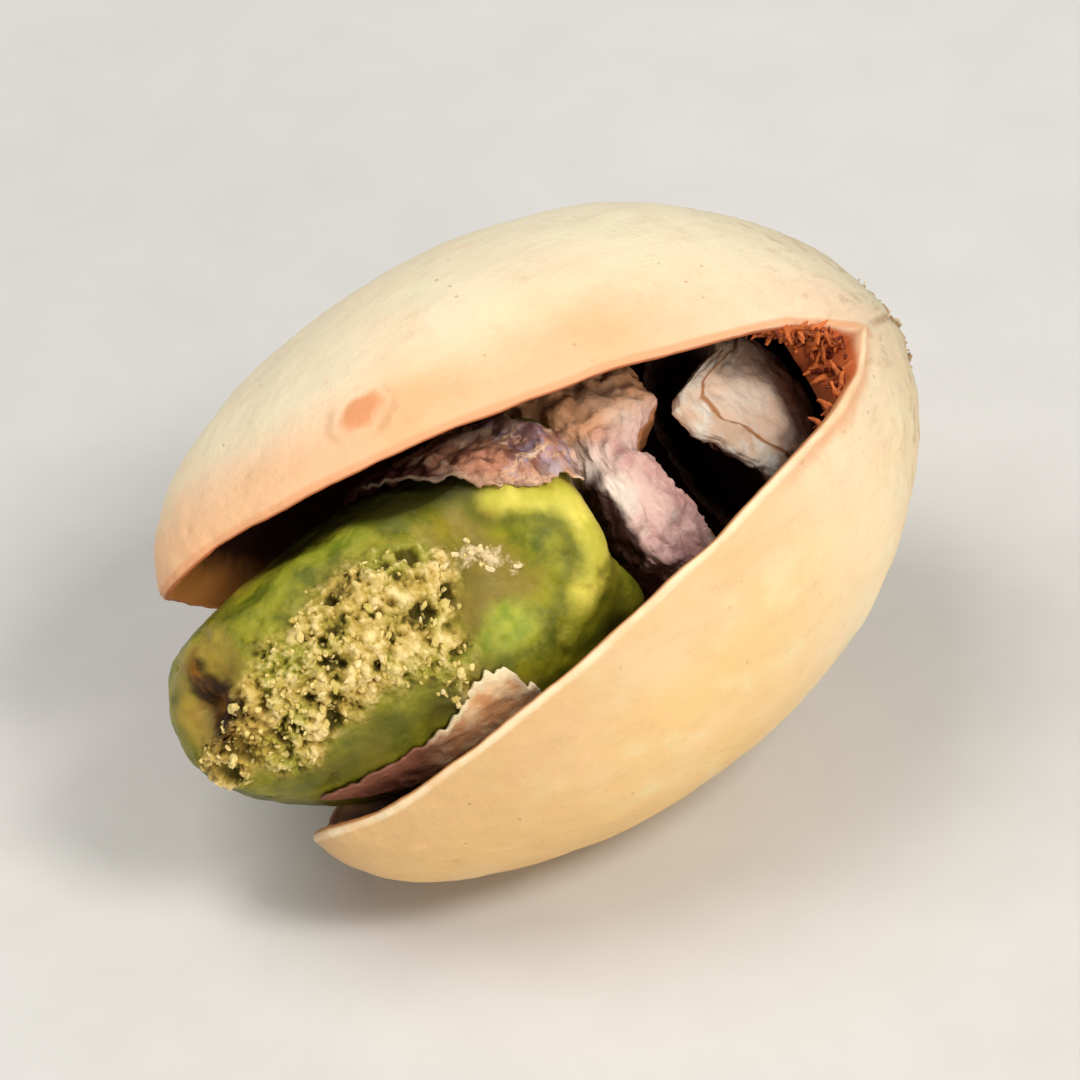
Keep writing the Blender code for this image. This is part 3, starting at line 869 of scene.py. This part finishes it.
def flesh_material():
    made, shader, base = new_material("seed_flesh_green", {"Metallic": 0.0, "Specular IOR Level": 0.22})
    nut = base.painted("nut", "Vector")
    crumb, lobe, painted_shadow, fresh = (base.painted(n) for n in ("crumb", "lobe", "painted_shadow", "fresh"))
    relief, form, flake = (base.painted(n) for n in ("relief", "form", "flake"))
    mottle = nut.noise(0.9, 4.0, 0.6, seed=2.0)
    x, y, z = nut.axes()
    colour = mottle.rise(0.35, 0.65).mix((0.10, 0.120, 0.006), (0.30, 0.28, 0.014))
    colour = (nut.noise(0.5, 2.0, seed=5.0).rise(0.5, 0.7) * 0.6).mix(colour, (0.30, 0.20, 0.03))
    green = (fresh + 0.7 * (mottle - 0.5)).rise(0.3, 0.9)
    colour = green.mix(colour, nut.noise(1.8, 3.0, seed=4.0).rise(0.35, 0.65).mix((0.20, 0.26, 0.015), (0.38, 0.39, 0.035)))
    # Painted shade: the underside of the front piece towards the tip is near black green.
    low = (z + 1.4 * (mottle - 0.5)).rise(-1.3, -2.6) * x.rise(14.5, 16.0)
    colour = (low * 0.6).mix(colour, (0.085, 0.080, 0.005))
    lit = (lobe + 0.5 * (mottle - 0.5)).rise(0.35, 0.85)
    # Painted shade in the crease round the raised lobe.
    fold = (lobe + 0.3 * (mottle - 0.5)).rise(0.12, 0.30) * (lobe + 0.3 * (mottle - 0.5)).rise(0.52, 0.34)
    colour = (fold * 0.45).mix(colour, (0.09, 0.10, 0.008))
    colour = lit.mix(colour, nut.noise(1.2, 3.0, seed=7.0).rise(0.35, 0.65).mix((0.72, 0.62, 0.10), (0.50, 0.46, 0.05)))
    # Painted shade: the sunken parts of the form are coloured olive brown.
    sunk_shade = (form + 0.25 * (nut.noise(1.2, 3.0, seed=18.0) - 0.5)).rise(-0.16, -0.45) * (1.0 - green)
    colour = (sunk_shade * 0.7).mix(colour, (0.24, 0.16, 0.035))
    speck = nut.noise(3.4, 5.0, 0.75, seed=8.0)
    # Painted shade and highlight on the crumbled flesh: near black where the relief dips between grains and pale on the
    # raised grains, with random specks of their own.
    tone = relief * 2.6 + (speck - 0.5) * 1.7
    olive = nut.noise(0.8, 3.0, seed=20.0).rise(0.42, 0.62).mix((0.50, 0.34, 0.07), (0.33, 0.30, 0.03))
    grain = tone.rise(-0.45, 0.20).mix((0.085, 0.06, 0.006), olive)
    grain = tone.rise(0.02, 0.75).mix(grain, (0.93, 0.73, 0.33))
    broken = (crumb + 1.1 * (nut.noise(1.3, 4.0, 0.7, seed=12.0) - 0.5)).rise(0.15, 0.85)
    colour = (broken * 0.92).mix(colour, grain)
    flaky = (flake + 1.7 * (nut.noise(2.8, 5.0, 0.75, seed=19.0) - 0.5)).rise(0.50, 0.80)
    colour = (flaky * 0.8).mix(colour, (0.78, 0.62, 0.38))
    # Painted shadow: near black green at the listed places.
    colour = (painted_shadow + 0.6 * (mottle - 0.5)).rise(0.25, 0.95).mix(colour, (0.030, 0.030, 0.003))
    # Painted shade in the dips of the relief, away from the lobe.
    colour = (relief.rise(-0.02, -0.12) * (1.0 - lit) * 0.5).mix(colour, (0.07, 0.055, 0.005))
    hollow = ((nut - (21.3, 1.2, 0.5)) * (0.6, 0.85, 0.55)).distance((0.0, 0.0, 0.0))
    hollow = hollow + 0.9 * (nut.noise(1.3, 2.0, 0.5, seed=17.0) - 0.5)
    ring = hollow.rise(1.3, 0.9) * hollow.rise(0.4, 0.7)
    colour = (ring * 0.5).mix(colour, (0.50, 0.33, 0.06))
    # The hollow at the tip: its own brown, darkened to near black as painted shade.
    hollow_brown_and_shade = nut.noise(1.5, 3.0, 0.55, seed=24.0).rise(0.40, 0.62).mix((0.030, 0.010, 0.001), (0.22, 0.09, 0.010))
    colour = hollow.rise(0.85, 0.40).mix(colour, hollow_brown_and_shade)
    height = nut.noise(5.0, 5.0, 0.65) * (0.35 + 0.65 * crumb.min(1.0)) + 0.3 * nut.noise(1.5, 3.0)
    roughness = 0.40 + 0.3 * crumb.min(1.0) + 0.1 * mottle
    finish_material(base, shader, colour, roughness, height, 0.08)
    return made


def crumbled_tree(finish):
    """Rubs the flesh to grains where it is crumbled, and gives the rest soft lumps and small scratches."""
    tree, entry = new_tree("crumbled_flesh", ("Grain height", "Lump height", "Scratch depth"))
    surface = entry["Surface"]
    nut = surface.stored("nut", "FLOAT_VECTOR")
    crumb, lobe = surface.stored("crumb"), surface.stored("lobe")
    broken = (crumb + 1.1 * (nut.noise(1.3, 4.0, 0.7, seed=12.0) - 0.5)).rise(0.2, 0.9)
    warped = nut + (nut.noise(2.0, 2.0, seed=4.0) - 0.5) * 0.6
    ridges = 1.0 - (warped.noise(1.3, 3.0, 0.6, seed=3.0) - 0.5) * (warped.noise(1.3, 3.0, 0.6, seed=3.0) - 0.5) * 60.0
    grains = 0.5 * (ridges.max(-1.0) - 0.5) + 2.4 * (warped.noise(2.1, 6.0, 0.75, seed=4.0) - 0.5)
    lumps = (nut.noise(0.8, 3.0, 0.5, seed=6.0) - 0.5) * (1.0 - 0.7 * lobe.min(1.0))
    scratches = (nut * (1.0, 0.4, 1.0)).noise(2.4, 3.0, 0.6, seed=14.0).rise(0.55, 0.75)
    flaky = (surface.stored("flake") + 1.7 * (nut.noise(2.8, 5.0, 0.75, seed=19.0) - 0.5)).rise(0.5, 0.8)
    height = (broken * grains + 0.3 * flaky) * entry["Grain height"] + lumps * entry["Lump height"]
    height = height - scratches * (1.0 - broken) * entry["Scratch depth"]
    end_tree(surface.store("relief", height).push(height + surface.stored("form")), finish)
    return tree


front_points, front_faces = seed_piece(
    front_break_x, None, 230, 300, FRONT_SHOULDER, FRONT_SHIFT, 0.25, 11.0
)
front_points = [flattened(point) for point in front_points]
front_places = np.array([tuple(p) for p in front_points])
front = add_piece(
    "seed_front_visual",
    front_points,
    front_faces,
    {
        "form": patch(front_places, FRONT_FORMS),
        "crumb": patch(front_places, CRUMB_PLACES),
        "lobe": patch(front_places, LOBE_PLACES),
        "painted_shadow": patch(front_places, SHADOW_PLACES),
        "fresh": patch(front_places, FRESH_PLACES),
        "flake": patch(front_places, FLAKE_PLACES),
    },
)
flesh_finish = flesh_material()
grow(
    front, crumbled_tree(flesh_finish), {"Grain height": 0.50, "Lump height": 0.30, "Scratch depth": 0.10}
)
keep(front, "seed_flesh", "kernel_front")


# Loose crumbs: grains of the same flesh, rubbed off the seed and lying in its crumbled part.
def crumb_material():
    made, shader, base = new_material("seed_flesh_crumbs", {"Metallic": 0.0, "Specular IOR Level": 0.25})
    tone = base.painted("tone")
    place = base.node("ShaderNodeTexCoord", {}, {}, "Object") * 1000.0
    colour = tone.mix((0.48, 0.35, 0.06), (0.90, 0.72, 0.31))
    colour = (place.noise(4.0, 4.0, 0.65).rise(0.45, 0.65) * 0.6).mix(colour, (0.48, 0.40, 0.05))
    colour = (tone.rise(0.80, 0.95) * 0.7).mix(colour, (0.76, 0.62, 0.40))
    finish_material(base, shader, colour, 0.62 + 0.1 * tone, place.noise(8.0, 3.0), 0.03)
    return made


def crumb_tree(finish):
    """Scatters rough lumps where the flesh is crumbled, each turned and stretched its own way."""
    names = ("Crumbs per mm2", "Smallest", "Largest", "Darkest", "Palest", "Seed")
    tree, entry = new_tree("loose_crumbs", names)
    surface, seed = entry["Surface"], entry["Seed"]
    density = surface.stored("loose") * entry["Crumbs per mm2"] * 1e6
    settings = {"Mesh": surface, "Density": density, "Seed": seed}
    spots = surface.node("GeometryNodeDistributePointsOnFaces", {}, settings, "Points")
    ball = surface.node("GeometryNodeMeshIcoSphere", {}, {"Radius": 1.0, "Subdivisions": 3})
    place = ball.node("GeometryNodeInputPosition", {}, {})
    lump = ball.push((place.noise(1.1, 4.0, 0.65, seed=3.0) - 0.5) * 1800.0)
    size = surface.random(entry["Smallest"], entry["Largest"], seed) * MM
    stretch = surface.random((0.8, 0.45, 0.35), (1.7, 1.0, 0.7), seed) * size
    turn = surface.random((0.0, 0.0, 0.0), (6.28, 6.28, 6.28), seed)
    values = {"Points": spots, "Instance": lump, "Rotation": turn, "Scale": stretch}
    crumbs = surface.node("GeometryNodeInstanceOnPoints", {}, values)
    crumbs = crumbs.store("tone", surface.random(entry["Darkest"], entry["Palest"], seed), "INSTANCE")
    real = crumbs.node("GeometryNodeRealizeInstances", {}, {0: crumbs})
    place = surface.node("GeometryNodeInputPosition", {}, {}) * 1000.0
    end_tree(real.push((place.noise(4.5, 3.0, 0.6, seed=6.0) - 0.5) * 0.16), finish)
    return tree


crumb_finish = crumb_material()
loose_crumbs = crumb_tree(crumb_finish)
for name, places, per_mm2, smallest, largest, darkest, palest, seed in (
    ("seed_crumbs_large", CRUMB_PLACES, 0.9, 0.09, 0.17, 0.0, 0.85, 5),
    ("seed_crumbs_small", CRUMB_PLACES, 8.0, 0.03, 0.08, 0.0, 0.90, 9),
    ("seed_flakes", FLAKE_PLACES, 26.0, 0.03, 0.09, 0.7, 1.0, 13),
):
    crumbs = front.copy()
    crumbs.name = name
    crumbs.parent = None
    crumbs.data = front.data.copy()
    loose = smooth_step((patch(front_places, places) - 0.30) / 0.5)
    kept = crumbs.data.attributes.new("loose", "FLOAT", "POINT")
    kept.data.foreach_set("value", loose.astype(np.float32))
    bpy.context.scene.collection.objects.link(crumbs)
    sizes = {"Crumbs per mm2": per_mm2, "Smallest": smallest, "Largest": largest}
    sizes.update({"Darkest": darkest, "Palest": palest, "Seed": seed})
    grow(crumbs, loose_crumbs, sizes)
    keep(crumbs, "seed_flesh")


# Middle and back of the seed: two short pieces still in their thin papery coat, which is pink to purple
# and wrinkled. They lie loose in the shell where the seed broke across.
MIDDLE_SHIFT = Vector((0.0, -0.7, -0.4))
BACK_SHIFT = Vector((-0.45, -0.6, -0.2))
BACK_BREAK = (
    (-180, 5.0), (-90, 5.2), (-45, 5.9), (-30, 6.3), (-20, 6.8), (-12, 7.3), (-4, 7.6), (2, 8.1), (12, 8.2), (17, 7.9), (21, 7.1),
    (27, 6.1), (40, 5.4), (90, 5.0), (180, 5.0)
)
MIDDLE_STEM_BREAK = (
    (-180, 8.5), (-60, 8.3), (-40, 8.0), (-26, 8.2), (-15, 8.5), (-2, 8.75), (10, 8.9), (15, 8.7), (19, 8.0), (24, 7.6), (40, 7.4),
    (70, 7.5), (110, 8.2), (180, 8.5)
)
MIDDLE_TIP_BREAK = (
    (-180, 10.8), (-70, 9.4), (-45, 9.4), (-33, 9.9), (-25, 10.7), (-17, 10.9), (-5, 10.8), (10, 10.7), (20, 10.7), (40, 10.5),
    (90, 10.6), (180, 10.8)
)


def back_break_x(turn):
    """The break of the back piece, which slants in from a corner that sticks out on the mouth side."""
    return from_table(BACK_BREAK, turn)


def middle_stem_x(turn):
    """The break on the stem side of the middle piece, which steps in below its top lump."""
    return from_table(MIDDLE_STEM_BREAK, turn)


def middle_tip_x(turn):
    """The break on the tip side of the middle piece, whose lower corner is rounded off."""
    return from_table(MIDDLE_TIP_BREAK, turn)


def coat_material():
    made, shader, base = new_material("seed_coat_pink", {"Metallic": 0.0, "Specular IOR Level": 0.3})
    nut = base.painted("nut", "Vector")
    x, y, z = nut.axes()
    mottle = nut.noise(1.3, 4.0, 0.6, seed=2.0)
    colour = mottle.rise(0.35, 0.7).mix((0.84, 0.58, 0.50), (0.64, 0.34, 0.31))
    low = (z + mottle * 1.4).rise(-0.4, -2.2) * x.rise(8.0, 9.0)
    colour = (low * 0.6).mix(colour, (0.46, 0.20, 0.20))
    top = (z + mottle).rise(1.2, 2.2) * x.rise(11.6, 11.2)
    colour = (top * 0.9).mix(colour, (0.80, 0.40, 0.19))
    back = x.rise(7.2, 6.8)
    colour = back.mix(colour, mottle.rise(0.3, 0.7).mix((0.99, 0.84, 0.68), (0.98, 0.68, 0.50)))
    pale = nut.noise(2.2, 4.0, 0.6, seed=6.0).rise(0.56, 0.70) * 0.5
    # Painted highlights: pale cream at these places on the middle piece; the noise spots above are the coat's own paler
    # patches.
    for place, reach in (((9.0, 3.6, 1.7), 1.0), ((10.8, 4.1, 0.5), 1.1), ((10.6, 4.2, -0.3), 1.0)):
        near = nut.distance(place) + 0.8 * (nut.noise(1.6, 3.0, seed=13.0) - 0.5)
        pale = pale.max(near.rise(reach, 0.3) * 0.8)
    colour = (pale * (1.0 - 0.8 * top)).mix(colour, (0.94, 0.82, 0.70))
    shade = (x + 0.4 * (mottle - 0.5)).rise(10.40, 10.62) * z.rise(0.7, 0.1)
    colour = shade.mix(colour, (0.045, 0.014, 0.008))
    edge = base.painted("broken")
    flesh = nut.noise(1.8, 4.0, 0.6, seed=9.0).rise(0.35, 0.65).mix((0.97, 0.90, 0.78), (0.86, 0.60, 0.42))
    colour = edge.rise(0.55, 0.9).mix(colour, flesh)
    # Painted shade: the broken faces turn near black far inside the seed.
    colour = (base.painted("deep_shade") * edge.rise(0.5, 0.9)).mix(colour, (0.035, 0.015, 0.008))
    rind = edge.rise(0.15, 0.45) * edge.rise(0.9, 0.6)
    colour = (rind * 0.9).mix(colour, (0.46, 0.17, 0.04))
    height = nut.noise(4.0, 5.0, 0.65) + 0.5 * (nut * (0.4, 1.0, 1.0)).noise(2.4, 3.0)
    roughness = 0.48 + 0.2 * mottle
    finish_material(base, shader, colour, roughness, height, 0.07)
    return made


def wrinkled_tree(finish):
    """Wrinkles of the dried coat, and grains on the broken faces."""
    tree, entry = new_tree("wrinkled_coat", ("Wrinkle height", "Grain height"))
    surface = entry["Surface"]
    nut = surface.stored("nut", "FLOAT_VECTOR")
    broken = surface.stored("broken").rise(0.3, 0.7)
    warped = nut + (nut.noise(0.8, 2.0, seed=4.0) - 0.5) * 1.5
    folds = 1.0 - (warped * (0.6, 1.0, 1.0)).noise(1.5, 4.0, 0.6, seed=9.0).rise(0.42, 0.58)
    soft = nut.noise(0.7, 2.0, seed=5.0) - 0.5
    grains = nut.noise(2.4, 5.0, 0.7) - 0.5
    height = (1.0 - broken) * ((folds - 0.5) * 0.6 + soft) * entry["Wrinkle height"]
    height = height + broken * grains * entry["Grain height"]
    end_tree(surface.push(height), finish)
    return tree


def broken_share(points, shift, face, bare):
    """1 on the bare flesh and 0 on the coat, which ends so far short of the broken face; then painted shade, 1 far
    inside the seed.
    """
    share, deep_shade = np.zeros(len(points)), np.zeros(len(points))
    for k, point in enumerate(points):
        own = Vector(point) - shift
        turn = math.atan2(own.z / SEED_THICKNESS, own.y / SEED_WIDTH)
        share[k] = 1.0 - smooth_step((abs(own.x - face(turn)) - bare) / 0.35)
        whole = seed_point(min(max(own.x, SEED_STEM_END + 0.2), SEED_TIP_END - 0.2), turn)
        deep_shade[k] = smooth_step((0.93 - math.hypot(own.y, own.z) / math.hypot(whole.y, whole.z)) / 0.25)
    return {"broken": share, "deep_shade": deep_shade}


coat_finish = coat_material()
coat_tree = wrinkled_tree(coat_finish)
for name, node, start, end, face, bare, shoulder, shift, seed, wrinkle in (
    (
        "seed_middle_visual", "kernel_middle", middle_stem_x, middle_tip_x, middle_stem_x,
        -0.15, 0.8, MIDDLE_SHIFT, 17.0, 0.30,
    ),
    ("seed_back_visual", "kernel_back", None, back_break_x, back_break_x, 0.75, 0.3, BACK_SHIFT, 23.0, 0.17),
):
    points, faces = seed_piece(start, end, 90, 240, shoulder, shift, 0.3, seed)
    piece = add_piece(name, points, faces, broken_share(points, shift, face, bare))
    grow(piece, coat_tree, {"Wrinkle height": wrinkle, "Grain height": 0.4})
    keep(piece, "seed_skin", node)


# Torn coat on the front of the seed: two rags of the papery skin, a wrinkled one that hangs over the
# top of the green flesh and reaches to the middle piece, and a thin one along its underside.
RAG_THICKNESS = 0.09
RAG_COLUMNS = 150
RAG_ROWS = 50
TOP_RAG_EDGE = (
    (10.9, 22.0), (11.2, 10.0), (11.6, 5.0), (12.0, 8.0), (12.7, 11.0), (13.4, 16.0), (14.1, 23.0), (14.6, 32.0),
    (15.0, 45.0), (15.3, 62.0)
)
LOW_RAG_EDGE = (
    (14.3, -62.0), (14.8, -46.0), (15.3, -37.0), (15.9, -34.0), (16.5, -40.0), (17.1, -50.0), (17.9, -56.0), (19.0, -64.0),
    (19.8, -76.0)
)


def rag(edge, hidden, lift, wrinkle, seed):
    """A torn sheet on the seed, between a free edge given as (x, degrees round from +y) and a hidden one."""
    xs, degrees = zip(*edge)
    layers = ([], [])
    torn = []
    for column in range(RAG_COLUMNS + 1):
        x = xs[0] + (xs[-1] - xs[0]) * column / RAG_COLUMNS
        free = math.radians(float(np.interp(x, xs, degrees)))
        free += 0.07 * wobble((x, 0.0, 0.0), 0.45, seed) + 0.04 * wobble((x, 1.0, 0.0), 0.16, seed)
        settled = FRONT_SHIFT.lerp(MIDDLE_SHIFT, float(smooth_step((11.7 - x) / 0.9)))
        for row in range(RAG_ROWS + 1):
            share = row / RAG_ROWS
            turn = free + (math.radians(hidden) - free) * share
            on_seed = flattened(seed_point(x, turn))
            out = Vector((0.0, math.cos(turn), math.sin(turn)))
            fold = abs(wobble(on_seed, 0.9, seed)) + 0.5 * abs(wobble(on_seed, 0.4, seed + 1.0))
            high = lift * (1.0 + 1.2 * (1.0 - share) ** 3) + wrinkle * (0.7 - 1.6 * fold)
            top = on_seed + settled + out * high
            layers[0].append(top)
            layers[1].append(top - out * RAG_THICKNESS)
            torn.append(1.0 - min(share * 6.0, 1.0))
    width = RAG_ROWS + 1
    half = len(layers[0])
    faces = []
    for column in range(RAG_COLUMNS):
        for row in range(RAG_ROWS):
            a, b = column * width + row, (column + 1) * width + row
            faces.append([a, a + 1, b + 1, b])
            faces.append([half + a, half + b, half + b + 1, half + a + 1])
    rim = [c * width for c in range(RAG_COLUMNS)]
    rim += [RAG_COLUMNS * width + r for r in range(RAG_ROWS)]
    rim += [c * width + RAG_ROWS for c in range(RAG_COLUMNS, 0, -1)]
    rim += [r for r in range(RAG_ROWS, 0, -1)]
    for here, after in zip(rim, rim[1:] + rim[:1]):
        faces.append([here, after, half + after, half + here])
    return layers[0] + layers[1], faces, torn * 2


def rag_material():
    made, shader, base = new_material("seed_coat_torn", {"Metallic": 0.0, "Specular IOR Level": 0.3})
    nut = base.painted("nut", "Vector")
    torn, low = base.painted("torn"), base.painted("low")
    x, y, z = nut.axes()
    mottle = nut.noise(1.4, 4.0, 0.65, seed=2.0)
    colour = (mottle + x.rise(12.2, 13.6) * 0.25).rise(0.42, 0.62).mix((0.46, 0.34, 0.42), (0.56, 0.25, 0.15))
    colour = (nut.noise(1.3, 4.0, 0.6, seed=5.0).rise(0.48, 0.60) * 0.8).mix(colour, (0.16, 0.05, 0.03))
    crackle = (nut * (0.6, 1.0, 1.0)).noise(1.9, 5.0, 0.75, seed=8.0)
    colour = (crackle.rise(0.50, 0.60) * 0.9).mix(colour, (0.76, 0.47, 0.28))
    colour = (crackle.rise(0.60, 0.68) * 0.9).mix(colour, (0.88, 0.78, 0.66))
    under = mottle.rise(0.35, 0.65).mix((0.76, 0.40, 0.18), (0.92, 0.68, 0.40))
    # Painted shade: the low rag darkens towards the tip.
    under = x.rise(16.4, 17.8).mix(under, (0.26, 0.10, 0.06))
    # Painted shadow: the top rag turns near black towards its tip end.
    colour = (x + 1.2 * (mottle - 0.5)).rise(13.5, 14.5).mix(colour, (0.08, 0.02, 0.014))
    colour = low.mix(colour, under)
    pale = (torn + 0.5 * (nut.noise(2.4, 3.0, 0.6, seed=11.0) - 0.5)).rise(0.35, 0.8) * x.rise(17.8, 16.8)
    colour = (pale * (0.15 + 0.75 * low)).mix(colour, (0.86, 0.74, 0.48))
    finish_material(base, shader, colour, 0.5 + 0.2 * mottle, nut.noise(4.0, 5.0, 0.7), 0.07)
    return made


rag_finish = rag_material()
for name, edge, hidden, lift, wrinkle, low, seed in (
    ("coat_rag_top", TOP_RAG_EDGE, 80.0, 0.14, 0.26, 0.0, 31.0),
    ("coat_rag_low", LOW_RAG_EDGE, -84.0, 0.07, 0.08, 1.0, 37.0),
):
    points, faces, torn = rag(edge, hidden, lift, wrinkle, seed)
    piece = add_piece(name, points, faces, {"torn": torn, "low": [low] * len(points)})
    piece.data.materials.append(rag_finish)
    keep(piece, "seed_skin")


# Torn fibres of the shell: short stiff threads, rust red where the split ends and straw brown round the
# scar where the stem broke off. They are part of the wood.
def fibre_material():
    made, shader, base = new_material("shell_fibres", {"Metallic": 0.0, "Specular IOR Level": 0.3})
    tone, rusty = base.painted("tone"), base.painted("rusty")
    place = base.node("ShaderNodeTexCoord", {}, {}, "Object") * 1000.0
    red = (tone ** 1.6).mix((0.11, 0.010, 0.003), (0.64, 0.16, 0.035))
    straw = tone.mix((0.28, 0.19, 0.09), (0.62, 0.48, 0.28))
    colour = rusty.mix(straw, red)
    colour = (place.noise(3.0, 3.0).rise(0.5, 0.7) * 0.6).mix(colour, (0.14, 0.035, 0.012))
    finish_material(base, shader, colour, 0.6 + 0.1 * tone, place.noise(7.0, 3.0), 0.03)
    return made


def fibre_tree(finish):
    """Tapered, bent threads that stand out from the surface, each leaning its own way."""
    tree, entry = new_tree("torn_fibres", ("Fibres per mm2", "Shortest", "Longest", "Thickness", "Lean", "Seed"))
    surface, seed = entry["Surface"], entry["Seed"]
    density = surface.stored("fibrous") * entry["Fibres per mm2"] * 1e6
    settings = {"Mesh": surface, "Density": density, "Seed": seed}
    spots = surface.node("GeometryNodeDistributePointsOnFaces", {}, settings, "Points")
    turned = Wire(tree, spots.socket.node.outputs["Rotation"])
    bends = {"Resolution": 9, "Start": (0.0, 0.0, -0.15), "Middle": (0.05, 0.0, 0.5), "End": (0.60, 0.15, 0.80)}
    line = surface.node("GeometryNodeCurveQuadraticBezier", {}, bends)
    along = surface.node("GeometryNodeSplineParameter", {}, {}, "Factor")
    ring = surface.node("GeometryNodeCurvePrimitiveCircle", {}, {"Resolution": 6, "Radius": 1.0})
    taper = (1.0 - 0.8 * along) * entry["Thickness"]
    values = {"Curve": line, "Profile Curve": ring, "Scale": taper, "Fill Caps": True}
    thread = surface.node("GeometryNodeCurveToMesh", {}, values)
    lean = entry["Lean"]
    tilt = surface.random((-1.0, -1.0, -3.1), (1.0, 1.0, 3.1), seed) * surface.node(
        "ShaderNodeCombineXYZ", {}, {0: lean, 1: lean, 2: 1.0}
    )
    turned = surface.node("FunctionNodeRotateRotation", {"rotation_space": "LOCAL"}, {0: turned, 1: tilt})
    size = surface.random(entry["Shortest"], entry["Longest"], seed) * MM
    values = {"Points": spots, "Instance": thread, "Rotation": turned, "Scale": size}
    threads = surface.node("GeometryNodeInstanceOnPoints", {}, values)
    threads = threads.store("tone", surface.random(0.0, 1.0, seed), "INSTANCE")
    real = threads.node("GeometryNodeRealizeInstances", {}, {0: threads})
    place = surface.node("GeometryNodeInputPosition", {}, {}) * 1000.0
    end_tree(real.push((place.noise(5.0, 3.0, 0.6, seed=6.0) - 0.4) * 0.16), finish)
    return tree


shell_places = np.array([tuple(p) for p in shell_points])
from_hinge = np.linalg.norm(shell_places[:, :2] - np.array(HINGE_A), axis=1)
upper_side = smooth_step((shell_places[:, 2] + 0.3) / 0.6)
split_share = smooth_step((3.6 - from_hinge) / 1.4) * smooth_step((1.7 - shell_facts[:, 0]) / 0.9)
inside_share = 0.35 * smooth_step((shell_facts[:, 0] - 0.35) / 0.3)
split_share = split_share * np.maximum(upper_side, inside_share) * (shell_facts[:, 2] > 0.3)
stem_reach = np.linalg.norm(shell_places[:, 1:], axis=1)
scar_share = smooth_step((2.0 - stem_reach) / 0.5) * smooth_step((stem_reach - 0.5) / 0.4)
scar_share = scar_share * (shell_places[:, 0] < 2.0) * (shell_facts[:, 2] < 0.5)
fibre_finish = fibre_material()
fibres_tree = fibre_tree(fibre_finish)
for name, share, rusty, sizes in (
    (
        "fibres_split_end",
        split_share,
        1.0,
        {"Fibres per mm2": 80.0, "Shortest": 0.20, "Longest": 0.46, "Thickness": 0.22, "Lean": 1.5, "Seed": 3},
    ),
    (
        "fibres_stem_scar",
        scar_share,
        0.0,
        {"Fibres per mm2": 30.0, "Shortest": 0.08, "Longest": 0.20, "Thickness": 0.26, "Lean": 1.4, "Seed": 7},
    ),
):
    near = [face for face in shell_faces if min(share[k] for k in face) > 0.02]
    threads = add_piece(name, shell_points, near, {"fibrous": share})
    grow(threads, fibres_tree, sizes)
    kept = threads.data.attributes.new("rusty", "FLOAT", "POINT")
    kept.data.foreach_set("value", np.full(len(threads.data.vertices), rusty, np.float32))
    keep(threads, "shell_wood")


# Table and light: a plain pale surface and soft daylight from the upper left; not part of the nut.
FLOOR_SIZE = 1.2
KEY_POWER = 0.84
SKY_POWER = 0.90
FILL_POWER = 0.55

floor_mesh = bpy.data.meshes.new("floor")
half = FLOOR_SIZE / 2
floor_mesh.from_pydata([(-half, -half, 0), (half, -half, 0), (half, half, 0), (-half, half, 0)], [], [(0, 1, 2, 3)])
floor = bpy.data.objects.new("floor", floor_mesh)
bpy.context.scene.collection.objects.link(floor)
floor_finish, floor_shader, floor_base = new_material("pale_table", {"Roughness": 0.7})
grain = floor_base.node("ShaderNodeTexCoord", {}, {}, "Object").noise(400.0, 3.0)
floor_base.plug(floor_shader.inputs["Base Color"], grain.rise(0.3, 0.7).mix((0.62, 0.61, 0.59), (0.64, 0.63, 0.61)))
floor_mesh.materials.append(floor_finish)


def add_light(name, place, size, power, colour):
    """A square area light that looks at the nut; place is in metres from it."""
    data = bpy.data.lights.new(name, "AREA")
    data.size = size
    data.energy = power
    data.color = colour
    light = bpy.data.objects.new(name, data)
    light.location = LOOKED_AT + Vector(place)
    light.rotation_euler = (-Vector(place)).to_track_quat("-Z", "Y").to_euler()
    bpy.context.scene.collection.objects.link(light)


add_light("key", (0.04, -0.23, 0.31), 0.12, KEY_POWER, (1.0, 0.97, 0.92))
add_light("sky", (-0.12, 0.10, 0.34), 0.26, SKY_POWER, (1.0, 0.98, 0.94))
add_light("fill", (-0.06, -0.33, 0.08), 0.20, FILL_POWER, (1.0, 0.90, 0.76))
world = bpy.data.worlds.new("room")
bpy.context.scene.world = world
world.use_nodes = True
world.node_tree.nodes["Background"].inputs["Color"].default_value = (0.92, 0.95, 1.0, 1.0)
world.node_tree.nodes["Background"].inputs["Strength"].default_value = 0.25
bpy.context.scene.view_settings.view_transform = "Standard"
